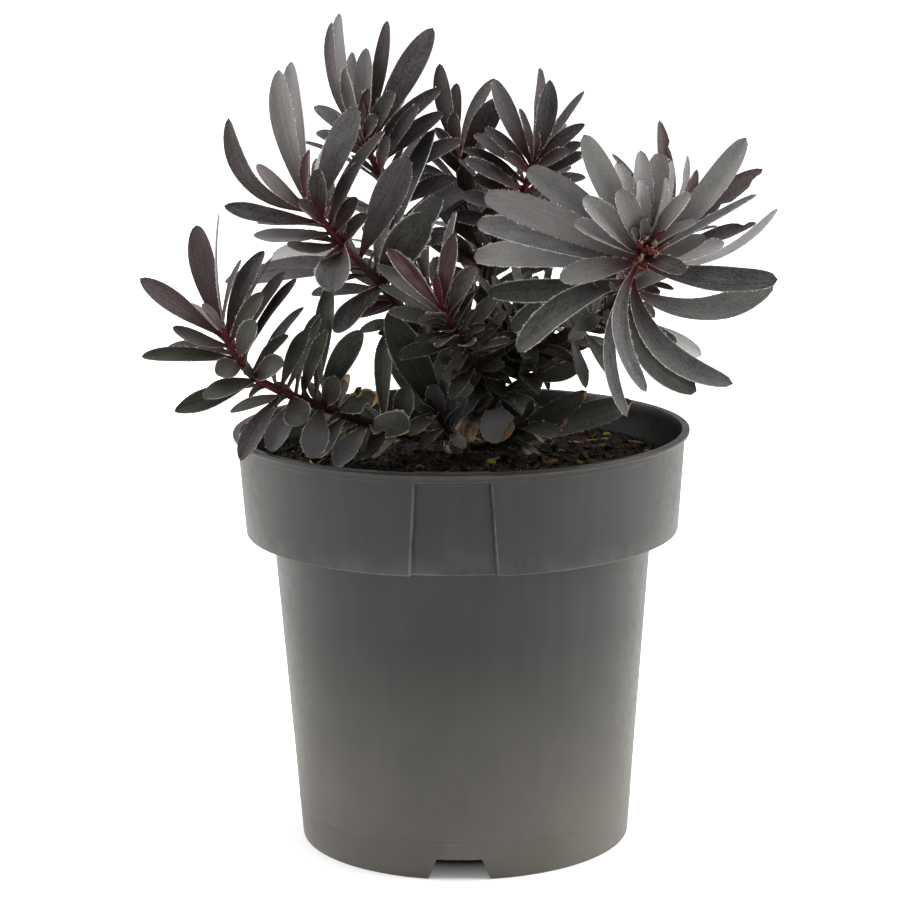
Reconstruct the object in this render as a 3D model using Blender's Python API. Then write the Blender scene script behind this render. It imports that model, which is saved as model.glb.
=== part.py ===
"""Potted leucadendron: a nursery pot, its soil, a forked trunk and the leafy shoots.

Lengths below are in millimetres, +Z up. The origin is the middle of the pot's base,
on the surface that it stands on, and the pot's recessed panel faces -Y.
"""
import math

import bmesh
import bpy
import numpy as np
from mathutils.bvhtree import BVHTree

MM = 0.001
SEED = 20
GAP = 0.3

# Pot
RIM_RADIUS = 100.0
RIM_HEIGHT = 182.8
LIP_HEIGHT = 2.4
LIP_WIDTH = 3.4
LIP_CHAMFER = 0.6
BAND_TOP_RADIUS = 97.8
BAND_BOTTOM_RADIUS = 95.0
BAND_BOTTOM_HEIGHT = 138.4
BODY_TOP_RADIUS = 83.2
BASE_RADIUS = 72.7
WALL = 1.6
BASE_PLATE_HEIGHT = 9.0
BASE_PLATE_THICKNESS = 1.8
CENTRE_FOOT_RADIUS = 16.0
FOOT_DRAFT = 2.0
PANEL_TOP_HEIGHT = 177.3
PANEL_TOP_SLOPE = 1.0
PANEL_DEPTH = 3.0
PANEL_HALF_ANGLE_TOP = 9.4
PANEL_HALF_ANGLE_BOTTOM = 11.2
PANEL_SIDE_ANGLE = 0.6
PANEL_TAB_HEIGHT = 0.5
COLUMN_STEP = 12
COLUMN_START = 6
NOTCH_HEIGHT = 9.0
NOTCH_TOP_DROP = 0.2
NOTCH_TOP_WIDTH = 19.5
NOTCH_BOTTOM_WIDTH = 27.0
NOTCH_REACH = 8.0
CUT_MARGIN = 2.0
DRAIN_HOLE_RADIUS = 4.0
DRAIN_HOLE_CIRCLE = 50.0
DRAIN_HOLE_COUNT = 6
DRAIN_HOLE_SIDES = 8

# Soil
SOIL_HEIGHT = 169.0
SOIL_EDGE_HEIGHT = 166.5
SOIL_RINGS = (88.0, 72.0, 54.0, 36.0, 18.0)
SOIL_BUMP = 1.6
SOIL_EDGE_DROP = 2.0
SOIL_EDGE_GAP = 0.4
TRUNK_HOLE_RADIUS = 6.2
TRUNK_HOLE_DEPTH = 20.0

# Trunk and its limbs: points along the middle, radius at the two ends
TRUNK_SIDES = 7
LIMB_SIDES = 6
LIMB_RINGS = 5
TRUNK = ([(-2, 8, 150), (-2, 8, 162), (-2, 8, 170.5), (0, 8.5, 176), (3.5, 9.5, 182.5), (8, 11.5, 190),
          (11, 12.5, 197)], 5.2, 3.6)
TRUNK_RINGS = 8
LIMBS = {
    "left": ([(4, 10, 184), (-4, 9, 200), (-13, 5, 216), (-20, 2, 227)], 3.2, 2.5),
    "middle": ([(8, 12, 192), (8, 14, 203), (10, 16, 219), (11, 17, 232)], 3.2, 2.4),
    "right": ([(7, 12, 190), (15, 4, 207), (28, -5, 218), (44, -12, 224)], 3.2, 2.6),
    "back": ([(6, 12, 187), (5, 24, 199), (6, 38, 212), (6, 46, 220)], 3.0, 2.4),
}

# Leafy shoots: points along the stem, length of bare wood before the first leaf,
# leaves placed by the spiral rule with their length, and the half they keep to.
# A leaf row is: place along the stem, clock angle seen from the front, lean to the front,
# length, width, how far the blade faces the front, sideways curl.
SHOOTS = {
    "shoot_right_rosette": {
        "path": [(43, -12, 224), (57, -26, 233), (69, -42, 247), (75, -54, 260), (79, -62, 269)],
        "bare": 8, "radius": (2.4, 1.5), "spiral": 10, "spiral_length": 40, "half": "back",
        "leaves": [
            (.93, -25, 0, 56, 11, 1, 0), (.95, -16, -10, 40, 9, .8, 0), (.97, -21, 18, 31, 10, .9, 0),
            (.95, -1, -5, 43, 9, .95, 0), (.93, 11, -12, 44, 11, 1, 0), (.9, 19, -25, 46, 8, .5, 0),
            (.95, 16, 5, 34, 9, .3, 0), (.97, 36, 15, 33, 8, .75, 0), (.93, 41, 0, 65, 11, .95, .07),
            (.96, 57, 15, 27, 7, .4, 0), (.9, 62, -10, 56, 8, .45, .05), (.85, 70, -15, 65, 8, .4, .19),
            (.88, 96, 10, 58, 12, .9, .08), (.65, 90, -5, 62, 12, .9, .2), (.93, 101, 50, 28, 8, .9, 0),
            (.75, 135, 25, 64, 11, .95, .2), (.6, 136, -20, 35, 10, .9, .2), (.85, 176, 30, 56, 10, .8, .2),
            (.7, -179, 15, 57, 8, .7, .18), (.7, -120, 20, 57, 12, .95, .08), (.65, -94, -10, 58, 11, .9, -.04),
            (.8, -87, -15, 70, 12, .95, .03), (.88, -98, 30, 38, 11, .9, 0), (.85, -76, -10, 70, 12, .95, 0),
            (.9, -67, 0, 70, 13, 1, .02), (.88, -51, -12, 61, 12, 1, .04), (.95, -62, 22, 35, 9, .9, 0),
            (.95, -44, 15, 38, 10, .95, 0), (.99, -4, 20, 16, 5, .8, 0), (.99, -28, 25, 14, 5, .8, 0),
            (.66, 147, 0, 54, 13, .9, .2), (.62, -112, -15, 54, 11, .9, .05),
        ]},
    "shoot_upper_left": {
        "path": [(-20, 2, 227), (-27, -6, 239), (-34, -14, 249), (-42, -20, 259), (-51, -26, 270),
                 (-57, -29, 278), (-63, -31, 284)],
        "bare": 11, "radius": (2.3, 1.4), "spiral": 8, "spiral_length": 34, "half": "back",
        "leaves": [
            (.98, -13, -15, 61, 11, .95, -.02), (.97, -9, -24, 67, 12, .8, .02), (.95, -41, 0, 53, 9, .85, -.18),
            (.93, -47, 12, 33, 8, .7, -.09), (.85, -80, 0, 43, 9, .85, -.06), (.76, -90, 10, 34, 8, .8, -.06),
            (.68, -86, 25, 27, 7, .7, -.13), (.83, -45, 30, 18, 8, .8, 0), (.86, -1, 25, 26, 9, .9, 0),
            (1, 2, -5, 23, 6, .7, 0), (.93, 22, -15, 49, 12, 1, -.02), (.96, 15, -22, 37, 7, .6, 0),
            (.86, 35, -20, 48, 9, .7, 0), (.8, 27, 10, 32, 9, .75, 0), (.75, 34, 32, 22, 8, .8, 0),
            (.66, 41, 32, 21, 9, .8, 0), (.5, 26, -8, 49, 14, 1, 0), (.35, 23, -20, 70, 12, .75, .03),
            (.66, -172, 45, 26, 16, .9, 0), (.25, 33, 20, 41, 16, 1, -.04), (.42, -97, -15, 66, 10, .9, 0),
            (.45, -91, -30, 53, 10, .9, .03), (.26, -134, 10, 29, 11, .9, 0), (.08, -108, 5, 24, 9, .8, 0),
            (.33, 12, -26, 62, 8, .7, 0), (.22, 32, -14, 47, 12, .9, 0),
        ]},
    "shoot_low_left": {
        "path": [(-2, 8, 178), (-20, -8, 181), (-38, -22, 189), (-57, -32, 198), (-76, -40, 207),
                 (-88, -43, 215), (-95, -44, 226), (-99, -44, 234)],
        "bare": 26, "radius": (2.4, 1.4), "spiral": 6, "spiral_length": 26, "half": "back",
        "leaves": [
            (.97, -17, -25, 51, 11, 1, -.03), (.96, -3, -15, 53, 4, .2, 0), (1, 17, 0, 31, 5, .4, 0),
            (.95, 23, -15, 41, 9, .85, -.03), (.92, 25, -25, 43, 6, .4, 0), (.9, 34, -10, 40, 8, .7, .02),
            (.93, 34, 20, 30, 8, .85, 0), (.84, 34, -5, 43, 7, .6, 0), (.76, 36, -20, 37, 8, .7, 0),
            (.95, -53, 5, 45, 10, .85, -.03), (.9, -52, -30, 34, 8, .7, 0), (.97, -31, 20, 18, 5, .6, 0),
            (.92, -69, 10, 26, 8, .7, -.1), (.88, -87, -22, 33, 8, .7, 0), (.86, -87, 8, 41, 9, .75, -.02),
            (.87, 30, 42, 28, 10, .9, 0), (.83, -100, 45, 15, 10, .9, 0), (.78, 44, 12, 25, 7, .75, 0),
            (.76, 58, 45, 24, 11, .9, 0), (.75, -109, 20, 38, 10, .9, -.04), (.74, -102, 36, 28, 9, .8, 0),
            (.64, 26, 15, 32, 8, .85, 0), (.62, 26, -12, 36, 7, .7, .06), (.57, 16, -8, 38, 8, .7, 0),
            (.54, 14, 2, 44, 8, .8, 0), (.48, 7, -12, 53, 10, .85, .03), (.45, 29, 5, 38, 11, .95, -.02),
            (.59, 150, 45, 17, 13, .95, 0), (.65, -105, 10, 13, 5, .6, .2), (.62, -146, 22, 35, 10, .9, .02),
            (.55, -150, 28, 27, 11, .9, 0), (.45, -170, 34, 25, 12, 1, 0), (.33, -143, 15, 23, 9, .9, 0),
            (.22, -140, 32, 26, 10, .9, 0), (.1, -126, 25, 20, 9, .9, 0), (.38, 66, 36, 26, 11, .9, 0),
            (.43, 25, 40, 22, 10, .9, 0), (.22, 93, 42, 24, 15, .9, 0), (.14, 1, -12, 41, 9, .9, 0),
            (.38, 20, -5, 17, 7, .8, 0), (.06, 12, 22, 24, 10, .9, 0),
        ]},
    "shoot_top": {
        "path": [(-20, 2, 227), (-23, 4, 243), (-26, 6, 262), (-31, 8, 282), (-36, 9, 296), (-42, 10, 308)],
        "bare": 13, "radius": (2.2, 1.4), "spiral": 9, "spiral_length": 36, "half": "back",
        "leaves": [
            (.97, -15, -10, 55, 8, .6, -.05), (.97, -12, -22, 61, 9, .75, -.03), (.98, 2, -8, 41, 9, .95, 0),
            (.95, -13, 15, 37, 7, .7, 0), (.97, 10, -22, 57, 9, .7, .06), (.95, 30, -15, 60, 12, 1, 0),
            (1, 9, -3, 23, 6, .8, 0), (1, 3, 10, 17, 6, .8, 0), (.93, 35, -28, 46, 7, .4, .03),
            (.96, 29, 16, 29, 8, .85, 0), (.9, 48, 0, 42, 9, .8, 0), (.82, 52, 4, 38, 9, .85, 0),
            (.95, -34, 0, 23, 6, .6, 0), (.9, -51, -20, 34, 9, .8, 0), (.86, -66, -26, 31, 8, .8, 0),
            (.99, 31, 30, 17, 7, .8, 0), (.78, 32, 20, 38, 8, .8, 0), (.76, 16, 32, 22, 7, .8, 0),
            (.7, 61, 8, 40, 10, .8, 0), (.55, 66, 4, 32, 10, .8, 0), (.42, 62, -10, 34, 11, .85, 0),
            (.3, 75, 6, 26, 9, .8, 0), (.95, -10, -14, 45, 10, .7, 0),
        ]},
    "shoot_upper_right": {
        "path": [(11, 17, 232), (16, 14, 259), (23, 13, 274), (28, 12, 285), (32, 12, 298)],
        "bare": 12, "radius": (2.1, 1.3), "spiral": 8, "spiral_length": 28, "half": "back",
        "leaves": [
            (.97, 5, -15, 43, 8, .7, -.02), (.98, 12, 8, 38, 9, .95, .03), (.95, 36, -20, 42, 7, .5, .04),
            (.93, 50, 0, 31, 8, .8, 0), (.94, 40, -36, 29, 8, .8, 0), (.92, 60, 25, 22, 7, .8, 0),
            (.87, 58, -10, 28, 8, .75, 0), (.8, 62, 0, 30, 8, .8, 0), (.75, 78, -16, 29, 8, .8, 0),
            (.97, -24, -10, 41, 9, .9, -.04), (.99, -13, 4, 25, 6, .6, 0), (1, -4, 8, 18, 5, .6, 0),
            (.93, -46, 10, 28, 7, .8, 0), (.9, -55, -5, 30, 8, .8, 0), (.82, -61, 2, 32, 8, .8, 0),
            (.75, -58, 12, 33, 8, .8, 0), (.9, -48, 28, 18, 6, .8, 0), (.68, -61, 22, 25, 7, .8, 0),
            (.58, -70, 15, 26, 8, .8, 0), (.45, -76, 10, 26, 8, .8, 0), (.6, 80, 8, 24, 8, .8, 0),
        ]},
    "shoot_front_centre": {
        "path": [(5, 11, 187), (8, 2, 200), (6, -14, 215), (4, -18, 221), (0, -24, 228), (-4, -30, 236),
                 (-6, -33, 241)],
        "bare": 24, "radius": (2.0, 1.2), "spiral": 12, "spiral_length": 24, "half": "right",
        "leaves": [
            (.88, -41, 0, 39, 9, .75, -.04), (.98, 8, -6, 42, 7, .5, 0), (.99, 9, 6, 33, 8, .9, 0),
            (.9, 30, 20, 27, 9, .85, 0), (1, -9, 5, 15, 5, .8, 0), (.9, -11, -26, 27, 9, 1, 0),
            (.8, -53, -10, 41, 8, .8, 0), (.74, -62, -20, 38, 7, .8, 0), (.72, -73, 5, 30, 8, .8, 0),
            (.64, -96, 16, 20, 5, .8, 0), (.52, -101, 10, 30, 8, .8, 0), (.4, -140, 20, 17, 7, .8, 0),
            (.62, 67, 20, 13, 5, .8, 0), (.45, 88, 20, 14, 5, .8, 0), (.04, -150, 14, 22, 10, .9, .1),
            (.2, -160, 35, 16, 7, .9, 0), (.55, 38, -12, 24, 8, .8, 0), (.3, 62, 0, 22, 8, .8, 0),
        ]},
    "shoot_behind_top": {
        "path": [(11, 17, 231), (9, 24, 249), (4, 33, 277), (-2, 38, 300)],
        "bare": 14, "radius": (2.1, 1.3), "spiral": 11, "spiral_length": 30, "half": "all",
        "leaves": [
            (.97, -11, -4, 41, 9, .85, 0), (1, 0, 0, 30, 7, .9, 0), (.98, -3, 12, 20, 7, .9, 0),
            (.95, 25, -15, 39, 9, .6, 0), (.9, 31, 2, 34, 11, 1, 0), (.6, -58, 14, 32, 11, .9, 0),
            (.45, -48, 18, 34, 12, .9, 0), (.25, -38, 20, 34, 12, .9, 0), (.1, -58, 15, 32, 12, .9, 0),
            (.4, 50, 12, 30, 11, .9, 0), (.2, 40, 5, 30, 11, .9, 0),
        ]},
    "shoot_right_behind": {
        "path": [(42, -11, 223), (61, 4, 234), (78, 15, 247), (91, 20, 262)],
        "bare": 14, "radius": (2.2, 1.3), "spiral": 11, "spiral_length": 34, "half": "back",
        "leaves": [
            (.97, -3, -10, 54, 8, .85, 0), (.96, 1, -24, 46, 7, .8, 0), (.95, 15, -12, 41, 6, .5, 0),
            (.9, 24, 0, 39, 7, .8, 0), (.9, 52, -5, 57, 11, .9, 0), (.85, 72, 0, 46, 9, .75, .04),
            (.93, -29, -18, 48, 8, .6, 0),
        ]},
    "shoot_inner_right": {
        "path": [(7, 14, 203), (17, 6, 213), (24, 0, 226), (28, -4, 238)],
        "bare": 11, "radius": (1.9, 1.2), "spiral": 12, "spiral_length": 25, "half": "all",
        "leaves": [
            (.12, 84, 0, 24, 10, .9, .18), (.16, 100, 14, 13, 5, .8, 0), (.3, 100, 20, 26, 9, .9, .1),
            (.2, -60, 0, 22, 8, .8, 0),
        ]},
    "shoot_low_right": {
        "path": [(0, 8, 173), (6, 2, 174), (13, -3, 177), (22, -7, 183), (30, -9, 190)],
        "bare": 7, "radius": (2.2, 1.2), "spiral": 3, "spiral_length": 20, "half": "right",
        "leaves": [
            (.08, 67, 9, 44, 15, .9, 0), (.16, 77, -14, 70, 15, .85, -.04), (.4, 61, -14, 46, 11, .8, 0),
            (.75, 96, 10, 22, 9, .8, 0), (.55, 126, -4, 15, 7, .8, 0), (.98, 150, 5, 14, 4, .5, .15),
        ]},
    "shoot_low_twig": {
        "path": [(6, 10, 187), (12, 3, 191), (18, -2, 198), (26, -6, 204), (33, -8, 208)],
        "bare": 9, "radius": (1.8, 1.1), "spiral": 4, "spiral_length": 18, "half": "right",
        "leaves": [
            (.03, 151, 48, 21, 15, 1, 0), (.36, 66, -10, 14, 5, .8, 0), (.4, 118, 16, 18, 7, .85, 0),
            (.3, 128, 10, 17, 6, .5, 0), (.86, 74, 8, 26, 9, .9, .1), (.7, 20, 10, 20, 8, .8, 0),
            (.95, 62, -10, 22, 8, .8, 0), (.2, -10, 24, 14, 7, .9, 0),
        ]},
    "shoot_low_front": {
        "path": [(0, 9, 176), (-4, 0, 180), (-8, -9, 187), (-12, -14, 195)],
        "bare": 9, "radius": (2.0, 1.2), "spiral": 3, "spiral_length": 18, "half": "front",
        "leaves": [
            (.14, -25, 4, 64, 15, 1, 0), (.4, -35, -2, 42, 13, 1, 0), (.3, -5, -6, 42, 14, .95, 0),
            (.25, 36, 5, 24, 9, .9, 0), (.6, -8, 25, 20, 9, .9, 0), (.2, -8, 38, 16, 6, .8, 0),
            (.8, -120, 30, 18, 8, .9, 0), (.8, 12, -6, 30, 10, .9, 0),
        ]},
    "shoot_back_left": {
        "path": [(4, 34, 209), (-8, 50, 224), (-20, 62, 240), (-30, 70, 258)],
        "bare": 10, "radius": (2.2, 1.3), "spiral": 15, "spiral_length": 36, "half": "all",
        "leaves": []},
    "shoot_back": {
        "path": [(6, 46, 220), (8, 58, 234), (10, 70, 248), (12, 80, 264)],
        "bare": 8, "radius": (2.2, 1.3), "spiral": 13, "spiral_length": 34, "half": "all",
        "leaves": []},
    "shoot_back_right": {
        "path": [(6, 42, 216), (22, 54, 220), (40, 62, 228), (56, 66, 240)],
        "bare": 10, "radius": (2.2, 1.3), "spiral": 15, "spiral_length": 32, "half": "all",
        "leaves": []},
}

# Leaf form: rows of place along the blade, then width and thickness there as shares of the full
LONG_BLADE = np.array([(0.0, 0.2, 0.8), (0.3, 0.66, 1.0), (0.6, 1.0, 0.9), (0.87, 0.76, 0.7),
                       (1.0, 0.0, 0.0)])
SHORT_BLADE = np.array([(0.0, 0.2, 0.8), (0.45, 0.92, 1.0), (0.8, 0.85, 0.8), (1.0, 0.0, 0.0)])
SHORT_LENGTH = 36.0
LEAF_THICKNESS = 1.2
LEAF_ARCH = 0.05
ROOT_WIDTH = 2.4
CLEARANCE = 0.35
FRONT = np.array([0.0, -0.98, 0.2])
SPIRAL_ANGLE = math.radians(137.5)
SPIRAL_SWING = math.radians(80)
SPIRAL_SIDES = {"back": (0, 1, 0), "front": (0, -1, 0), "right": (1, -0.4, 0), "all": (0.2, 1, 0)}
SPREAD_AT_FOOT = 74.0
SPREAD_AT_TIP = 34.0
SPREAD_DRAW = 8.0
TURN_DRAW = 0.3
LENGTH_DRAW = 0.12
WIDTH_DRAW = 0.03
SPIRAL_WIDTH = 0.19
STEM_SIDES = 5
STEM_STEP = 12.0
STEM_POINT = 1.6
CURVE_POINTS = 60
STEM_POINTS = 41
SIDE_HINT = (0.31, 0.87, 0.12)
FLAT_ANGLE = 0.02

# A leaf that touches another is tried again: turned, leaned and shortened in this order
TRIES = ((0, 0, 1), (0, 6, 1), (0, -6, 1), (0, 12, 1), (0, -12, 1), (4, 0, 1), (-4, 0, 1),
         (0, 20, 1), (0, -20, 1), (5, 12, .95), (-5, 12, .95), (5, -12, .95), (-5, -12, .95),
         (8, 24, .9), (-8, 24, .9), (8, -24, .9), (-8, -24, .9), (0, 30, .85), (0, -30, .85),
         (12, 10, .8), (-12, 10, .8), (12, -10, .8), (-12, -10, .8), (0, 0, .7))


def unit(vector):
    """The vector at length one."""
    return vector / np.linalg.norm(vector)


def smooth_path(points, count):
    """Cubic curve through the points, read at even steps of its chord length."""
    points = np.asarray(points, float)
    knots = np.concatenate([[0], np.cumsum(np.linalg.norm(np.diff(points, axis=0), axis=1))])
    slopes = np.gradient(points, knots, axis=0)
    steps = np.linspace(0, knots[-1], count)
    low = np.clip(np.searchsorted(knots, steps, side="right") - 1, 0, len(points) - 2)
    span = knots[low + 1] - knots[low]
    t = ((steps - knots[low]) / span)[:, None]
    span = span[:, None]
    return ((2 * t ** 3 - 3 * t ** 2 + 1) * points[low] + (t ** 3 - 2 * t ** 2 + t) * span * slopes[low]
            + (3 * t ** 2 - 2 * t ** 3) * points[low + 1] + (t ** 3 - t ** 2) * span * slopes[low + 1])


def path_length(line):
    """Length along a line of points."""
    return float(np.linalg.norm(np.diff(line, axis=0), axis=1).sum())


def stretch(line, start, end):
    """Points of the part of a line between two lengths along it, and the directions there."""
    lengths = np.concatenate([[0], np.cumsum(np.linalg.norm(np.diff(line, axis=0), axis=1))])
    count = max(3, int(round((end - start) / STEM_STEP)) + 1)
    steps = np.linspace(start, end, count)
    slopes = np.gradient(line, lengths, axis=0)
    return tuple(np.stack([np.interp(steps, lengths, rows[:, axis]) for axis in range(3)], axis=1)
                 for rows in (line, slopes))


def tube(line, radii, sides, pointed, tangents=None):
    """Vertices and triangles of a closed tube round a line, with a flat or a pointed end."""
    tangents = np.gradient(line, axis=0) if tangents is None else tangents
    across = unit(np.cross(tangents[0], SIDE_HINT))
    verts = []
    angles = np.arange(sides) * math.tau / sides
    for centre, tangent, radius in zip(line, tangents, radii):
        tangent = unit(tangent)
        across = unit(across - tangent * (across @ tangent))
        other = np.cross(tangent, across)
        verts.append(centre + radius * (np.outer(np.cos(angles), across) + np.outer(np.sin(angles), other)))
    last = line[-1] + unit(tangents[-1]) * (radii[-1] * STEM_POINT if pointed else 0)
    verts = np.concatenate(verts + [line[:1], last[None]])
    faces = []
    for ring in range(len(line) - 1):
        for side in range(sides):
            a = ring * sides + side
            b = ring * sides + (side + 1) % sides
            faces += [(a, b, b + sides), (a, b + sides, a + sides)]
    first_centre = len(line) * sides
    for side in range(sides):
        turn = (side + 1) % sides
        faces.append((first_centre, turn, side))
        top = (len(line) - 1) * sides
        faces.append((first_centre + 1, top + side, top + turn))
    return verts, faces


def blade(root, tip, normal, bow, width, grow=0.0):
    """Vertices and triangles of one lanceolate leaf: flat above, keeled below.

    The midrib is a quadratic curve from the root to the tip whose middle is moved by bow.
    grow makes the blade wider and thicker all round, for the clearance test.
    """
    form = LONG_BLADE if np.linalg.norm(tip - root) > SHORT_LENGTH else SHORT_BLADE
    s = form[:, :1]
    middle = (root + tip) / 2 + 2 * bow
    rib = (1 - s) ** 2 * root + 2 * s * (1 - s) * middle + s ** 2 * tip
    tangents = np.gradient(rib, axis=0)
    tangents /= np.linalg.norm(tangents, axis=1)[:, None]
    sides = np.cross(tangents, normal)
    sides /= np.linalg.norm(sides, axis=1)[:, None]
    normals = np.cross(sides, tangents)
    half = np.maximum(form[:, 1:2] * width, ROOT_WIDTH * (s == 0)) / 2 + grow
    thick = form[:, 2:] * LEAF_THICKNESS
    left = rib - sides * half + normals * grow
    right = rib + sides * half + normals * grow
    keel = rib - normals * (thick + grow)
    rings = len(form) - 1
    verts = np.concatenate([np.stack([left, right, keel], axis=1)[:rings].reshape(-1, 3), rib[-1:]])
    faces = [(0, 2, 1)]
    for ring in range(rings - 1):
        for a, b in ((0, 1), (1, 2), (2, 0)):
            low_a, low_b = ring * 3 + a, ring * 3 + b
            faces += [(low_a, low_b, low_b + 3), (low_a, low_b + 3, low_a + 3)]
    point = rings * 3
    top = point - 3
    faces += [(top, top + 1, point), (top + 1, top + 2, point), (top + 2, top, point)]
    return verts, faces


def pictured_leaf(row, line, turn, lean_more, shorter):
    """Root, tip, normal, bow and width of a leaf given by its look from the front."""
    along, clock, lean, length, width, facing, curl = row
    place = along * (len(line) - 1)
    low = min(int(place), len(line) - 2)
    root = line[low] + (line[low + 1] - line[low]) * (place - low)
    tangent = unit(line[low + 1] - line[low])
    clock, lean = math.radians(clock + turn), math.radians(lean + lean_more)
    chord = np.array([math.sin(clock) * math.cos(lean), -math.sin(lean), math.cos(clock) * math.cos(lean)])
    to_front = unit(FRONT - chord * (FRONT @ chord))
    to_side = np.cross(chord, to_front)
    to_side *= 1 if to_side @ tangent >= 0 else -1
    normal = facing * to_front + math.sqrt(1 - facing ** 2) * to_side
    in_picture = np.array([math.cos(clock), 0, -math.sin(clock)])
    length *= shorter
    return root, root + chord * length, normal, (LEAF_ARCH * normal + curl * in_picture) * length, width


def spiral_leaf(number, shoot, line, draws, turn, lean_more, shorter):
    """Root, tip, normal, bow and width of a leaf on the stem's spiral, open low down and steep on top."""
    along = (number + 0.5) / shoot["spiral"]
    place = along * (len(line) - 1)
    low = min(int(place), len(line) - 2)
    root = line[low] + (line[low + 1] - line[low]) * (place - low)
    tangent = unit(line[low + 1] - line[low])
    across = unit(np.cross(np.cross(tangent, SPIRAL_SIDES[shoot["half"]]), tangent))
    other = np.cross(tangent, across)
    around = number * SPIRAL_ANGLE
    if shoot["half"] != "all":
        around = SPIRAL_SWING * math.sin(around)
    around += math.radians(3 * turn) + TURN_DRAW * draws[0]
    spread = SPREAD_AT_FOOT + (SPREAD_AT_TIP - SPREAD_AT_FOOT) * along + lean_more + SPREAD_DRAW * draws[1]
    spread = math.radians(spread)
    outward = math.cos(around) * across + math.sin(around) * other
    chord = math.cos(spread) * tangent + math.sin(spread) * outward
    normal = math.sin(spread) * tangent - math.cos(spread) * outward
    length = shoot["spiral_length"] * (0.75 + 0.5 * math.sin(math.pi * min(1, along * 1.15))) * shorter
    length *= 1 + LENGTH_DRAW * draws[2]
    width = (SPIRAL_WIDTH + WIDTH_DRAW * draws[3]) * length + 1.5
    return root, root + chord * length, normal, LEAF_ARCH * normal * length, width


class Crowd:
    """The shapes placed so far, with a test for what touches them."""

    def __init__(self):
        self.trees, self.boxes, self.owners = [], [], []

    def add(self, owner, verts, faces):
        self.trees.append(BVHTree.FromPolygons([tuple(v) for v in verts], faces))
        self.boxes.append(np.concatenate([verts.min(axis=0), verts.max(axis=0)]))
        self.owners.append(owner)

    def touched(self, verts, faces, skip):
        """Whether a shape meets any that isn't in the skipped owners."""
        boxes = np.array(self.boxes)
        near = np.all((boxes[:, :3] <= verts.max(axis=0)) & (boxes[:, 3:] >= verts.min(axis=0)), axis=1)
        near = [index for index in np.flatnonzero(near) if self.owners[index] not in skip]
        if not near:
            return False
        tree = BVHTree.FromPolygons([tuple(v) for v in verts], faces)
        return any(tree.overlap(self.trees[index]) for index in near)


def outer_part(verts, faces):
    """The blade without its root ring's faces, which are meant to meet the stem."""
    return verts, [face for face in faces if min(face) >= 3]


def settle(crowd, name, make):
    """Tries a leaf's places in turn until it is clear of the crowd, and adds it there.

    The first choice is clear of every leaf; the second may be fused with its own shoot's.
    """
    for skip in ((name + " stem",), (name + " stem", name)):
        for turn, lean, shorter in TRIES:
            root, tip, normal, bow, width = make(turn, lean, shorter)
            grown = outer_part(*blade(root, tip, normal, bow, width, CLEARANCE))
            whole = blade(root, tip, normal, bow, width, CLEARANCE)
            others = (name, name + " stem")
            if not crowd.touched(*whole, others) and not crowd.touched(*grown, skip):
                shape = blade(root, tip, normal, bow, width)
                crowd.add(name, *shape)
                return shape
    return None


def new_object(name, verts, faces, material):
    """A Blender object from millimetre vertices."""
    mesh = bpy.data.meshes.new(name)
    mesh.from_pydata([tuple(v * MM) for v in np.asarray(verts, float)], [], faces)
    mesh.materials.append(material)
    mesh.validate()
    obj = bpy.data.objects.new(name, mesh)
    bpy.context.scene.collection.objects.link(obj)
    return obj


def new_material(name, colour, roughness):
    """A Principled material with the part's colour."""
    material = bpy.data.materials.new(name)
    material.use_nodes = True
    shader = material.node_tree.nodes["Principled BSDF"]
    shader.inputs["Base Color"].default_value = (*colour, 1)
    shader.inputs["Roughness"].default_value = roughness
    return material


def apply_modifiers(obj):
    """Puts the evaluated mesh in the object's place and clears its modifiers."""
    bpy.context.view_layer.update()
    depsgraph = bpy.context.evaluated_depsgraph_get()
    mesh = bpy.data.meshes.new_from_object(obj.evaluated_get(depsgraph))
    obj.modifiers.clear()
    obj.data = mesh


def fuse(body, shapes, material):
    """One union of a body with a collection of shapes, which are then removed."""
    group = bpy.data.collections.new(body.name + " pieces")
    bpy.context.scene.collection.children.link(group)
    for number, (verts, faces) in enumerate(shapes):
        piece = new_object(f"{body.name}_{number}", verts, faces, material)
        bpy.context.scene.collection.objects.unlink(piece)
        group.objects.link(piece)
    union = body.modifiers.new("union", "BOOLEAN")
    union.operation = "UNION"
    union.operand_type = "COLLECTION"
    union.collection = group
    union.solver = "MANIFOLD"
    apply_modifiers(body)
    for piece in list(group.objects):
        bpy.data.objects.remove(piece)
    bpy.data.collections.remove(group)
    keep_outer_skin(body)


def keep_outer_skin(obj):
    """Keeps the largest closed skin, with flat areas in as few triangles as they need.

    This fills a sealed hollow and drops a loose scrap.
    """
    grid = bmesh.new()
    grid.from_mesh(obj.data)
    bmesh.ops.triangulate(grid, faces=grid.faces)
    left, skins = set(grid.verts), []
    while left:
        start = left.pop()
        skin, front = {start}, [start]
        while front:
            for edge in front.pop().link_edges:
                for vert in edge.verts:
                    if vert in left:
                        left.discard(vert)
                        skin.add(vert)
                        front.append(vert)
        skins.append(skin)
    largest = max(skins, key=len)
    bmesh.ops.delete(grid, geom=[v for v in grid.verts if v not in largest], context="VERTS")
    bmesh.ops.dissolve_limit(grid, angle_limit=FLAT_ANGLE, verts=grid.verts, edges=grid.edges)
    bmesh.ops.triangulate(grid, faces=grid.faces)
    grid.to_mesh(obj.data)
    grid.free()


def cut(obj, cutters):
    """Takes the cutters out of an object and removes them."""
    for cutter in cutters:
        cutter.hide_render = True
        cutter.display_type = "WIRE"
        difference = obj.modifiers.new("cut", "BOOLEAN")
        difference.operation = "DIFFERENCE"
        difference.object = cutter
    apply_modifiers(obj)
    for cutter in cutters:
        bpy.data.objects.remove(cutter)


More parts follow.
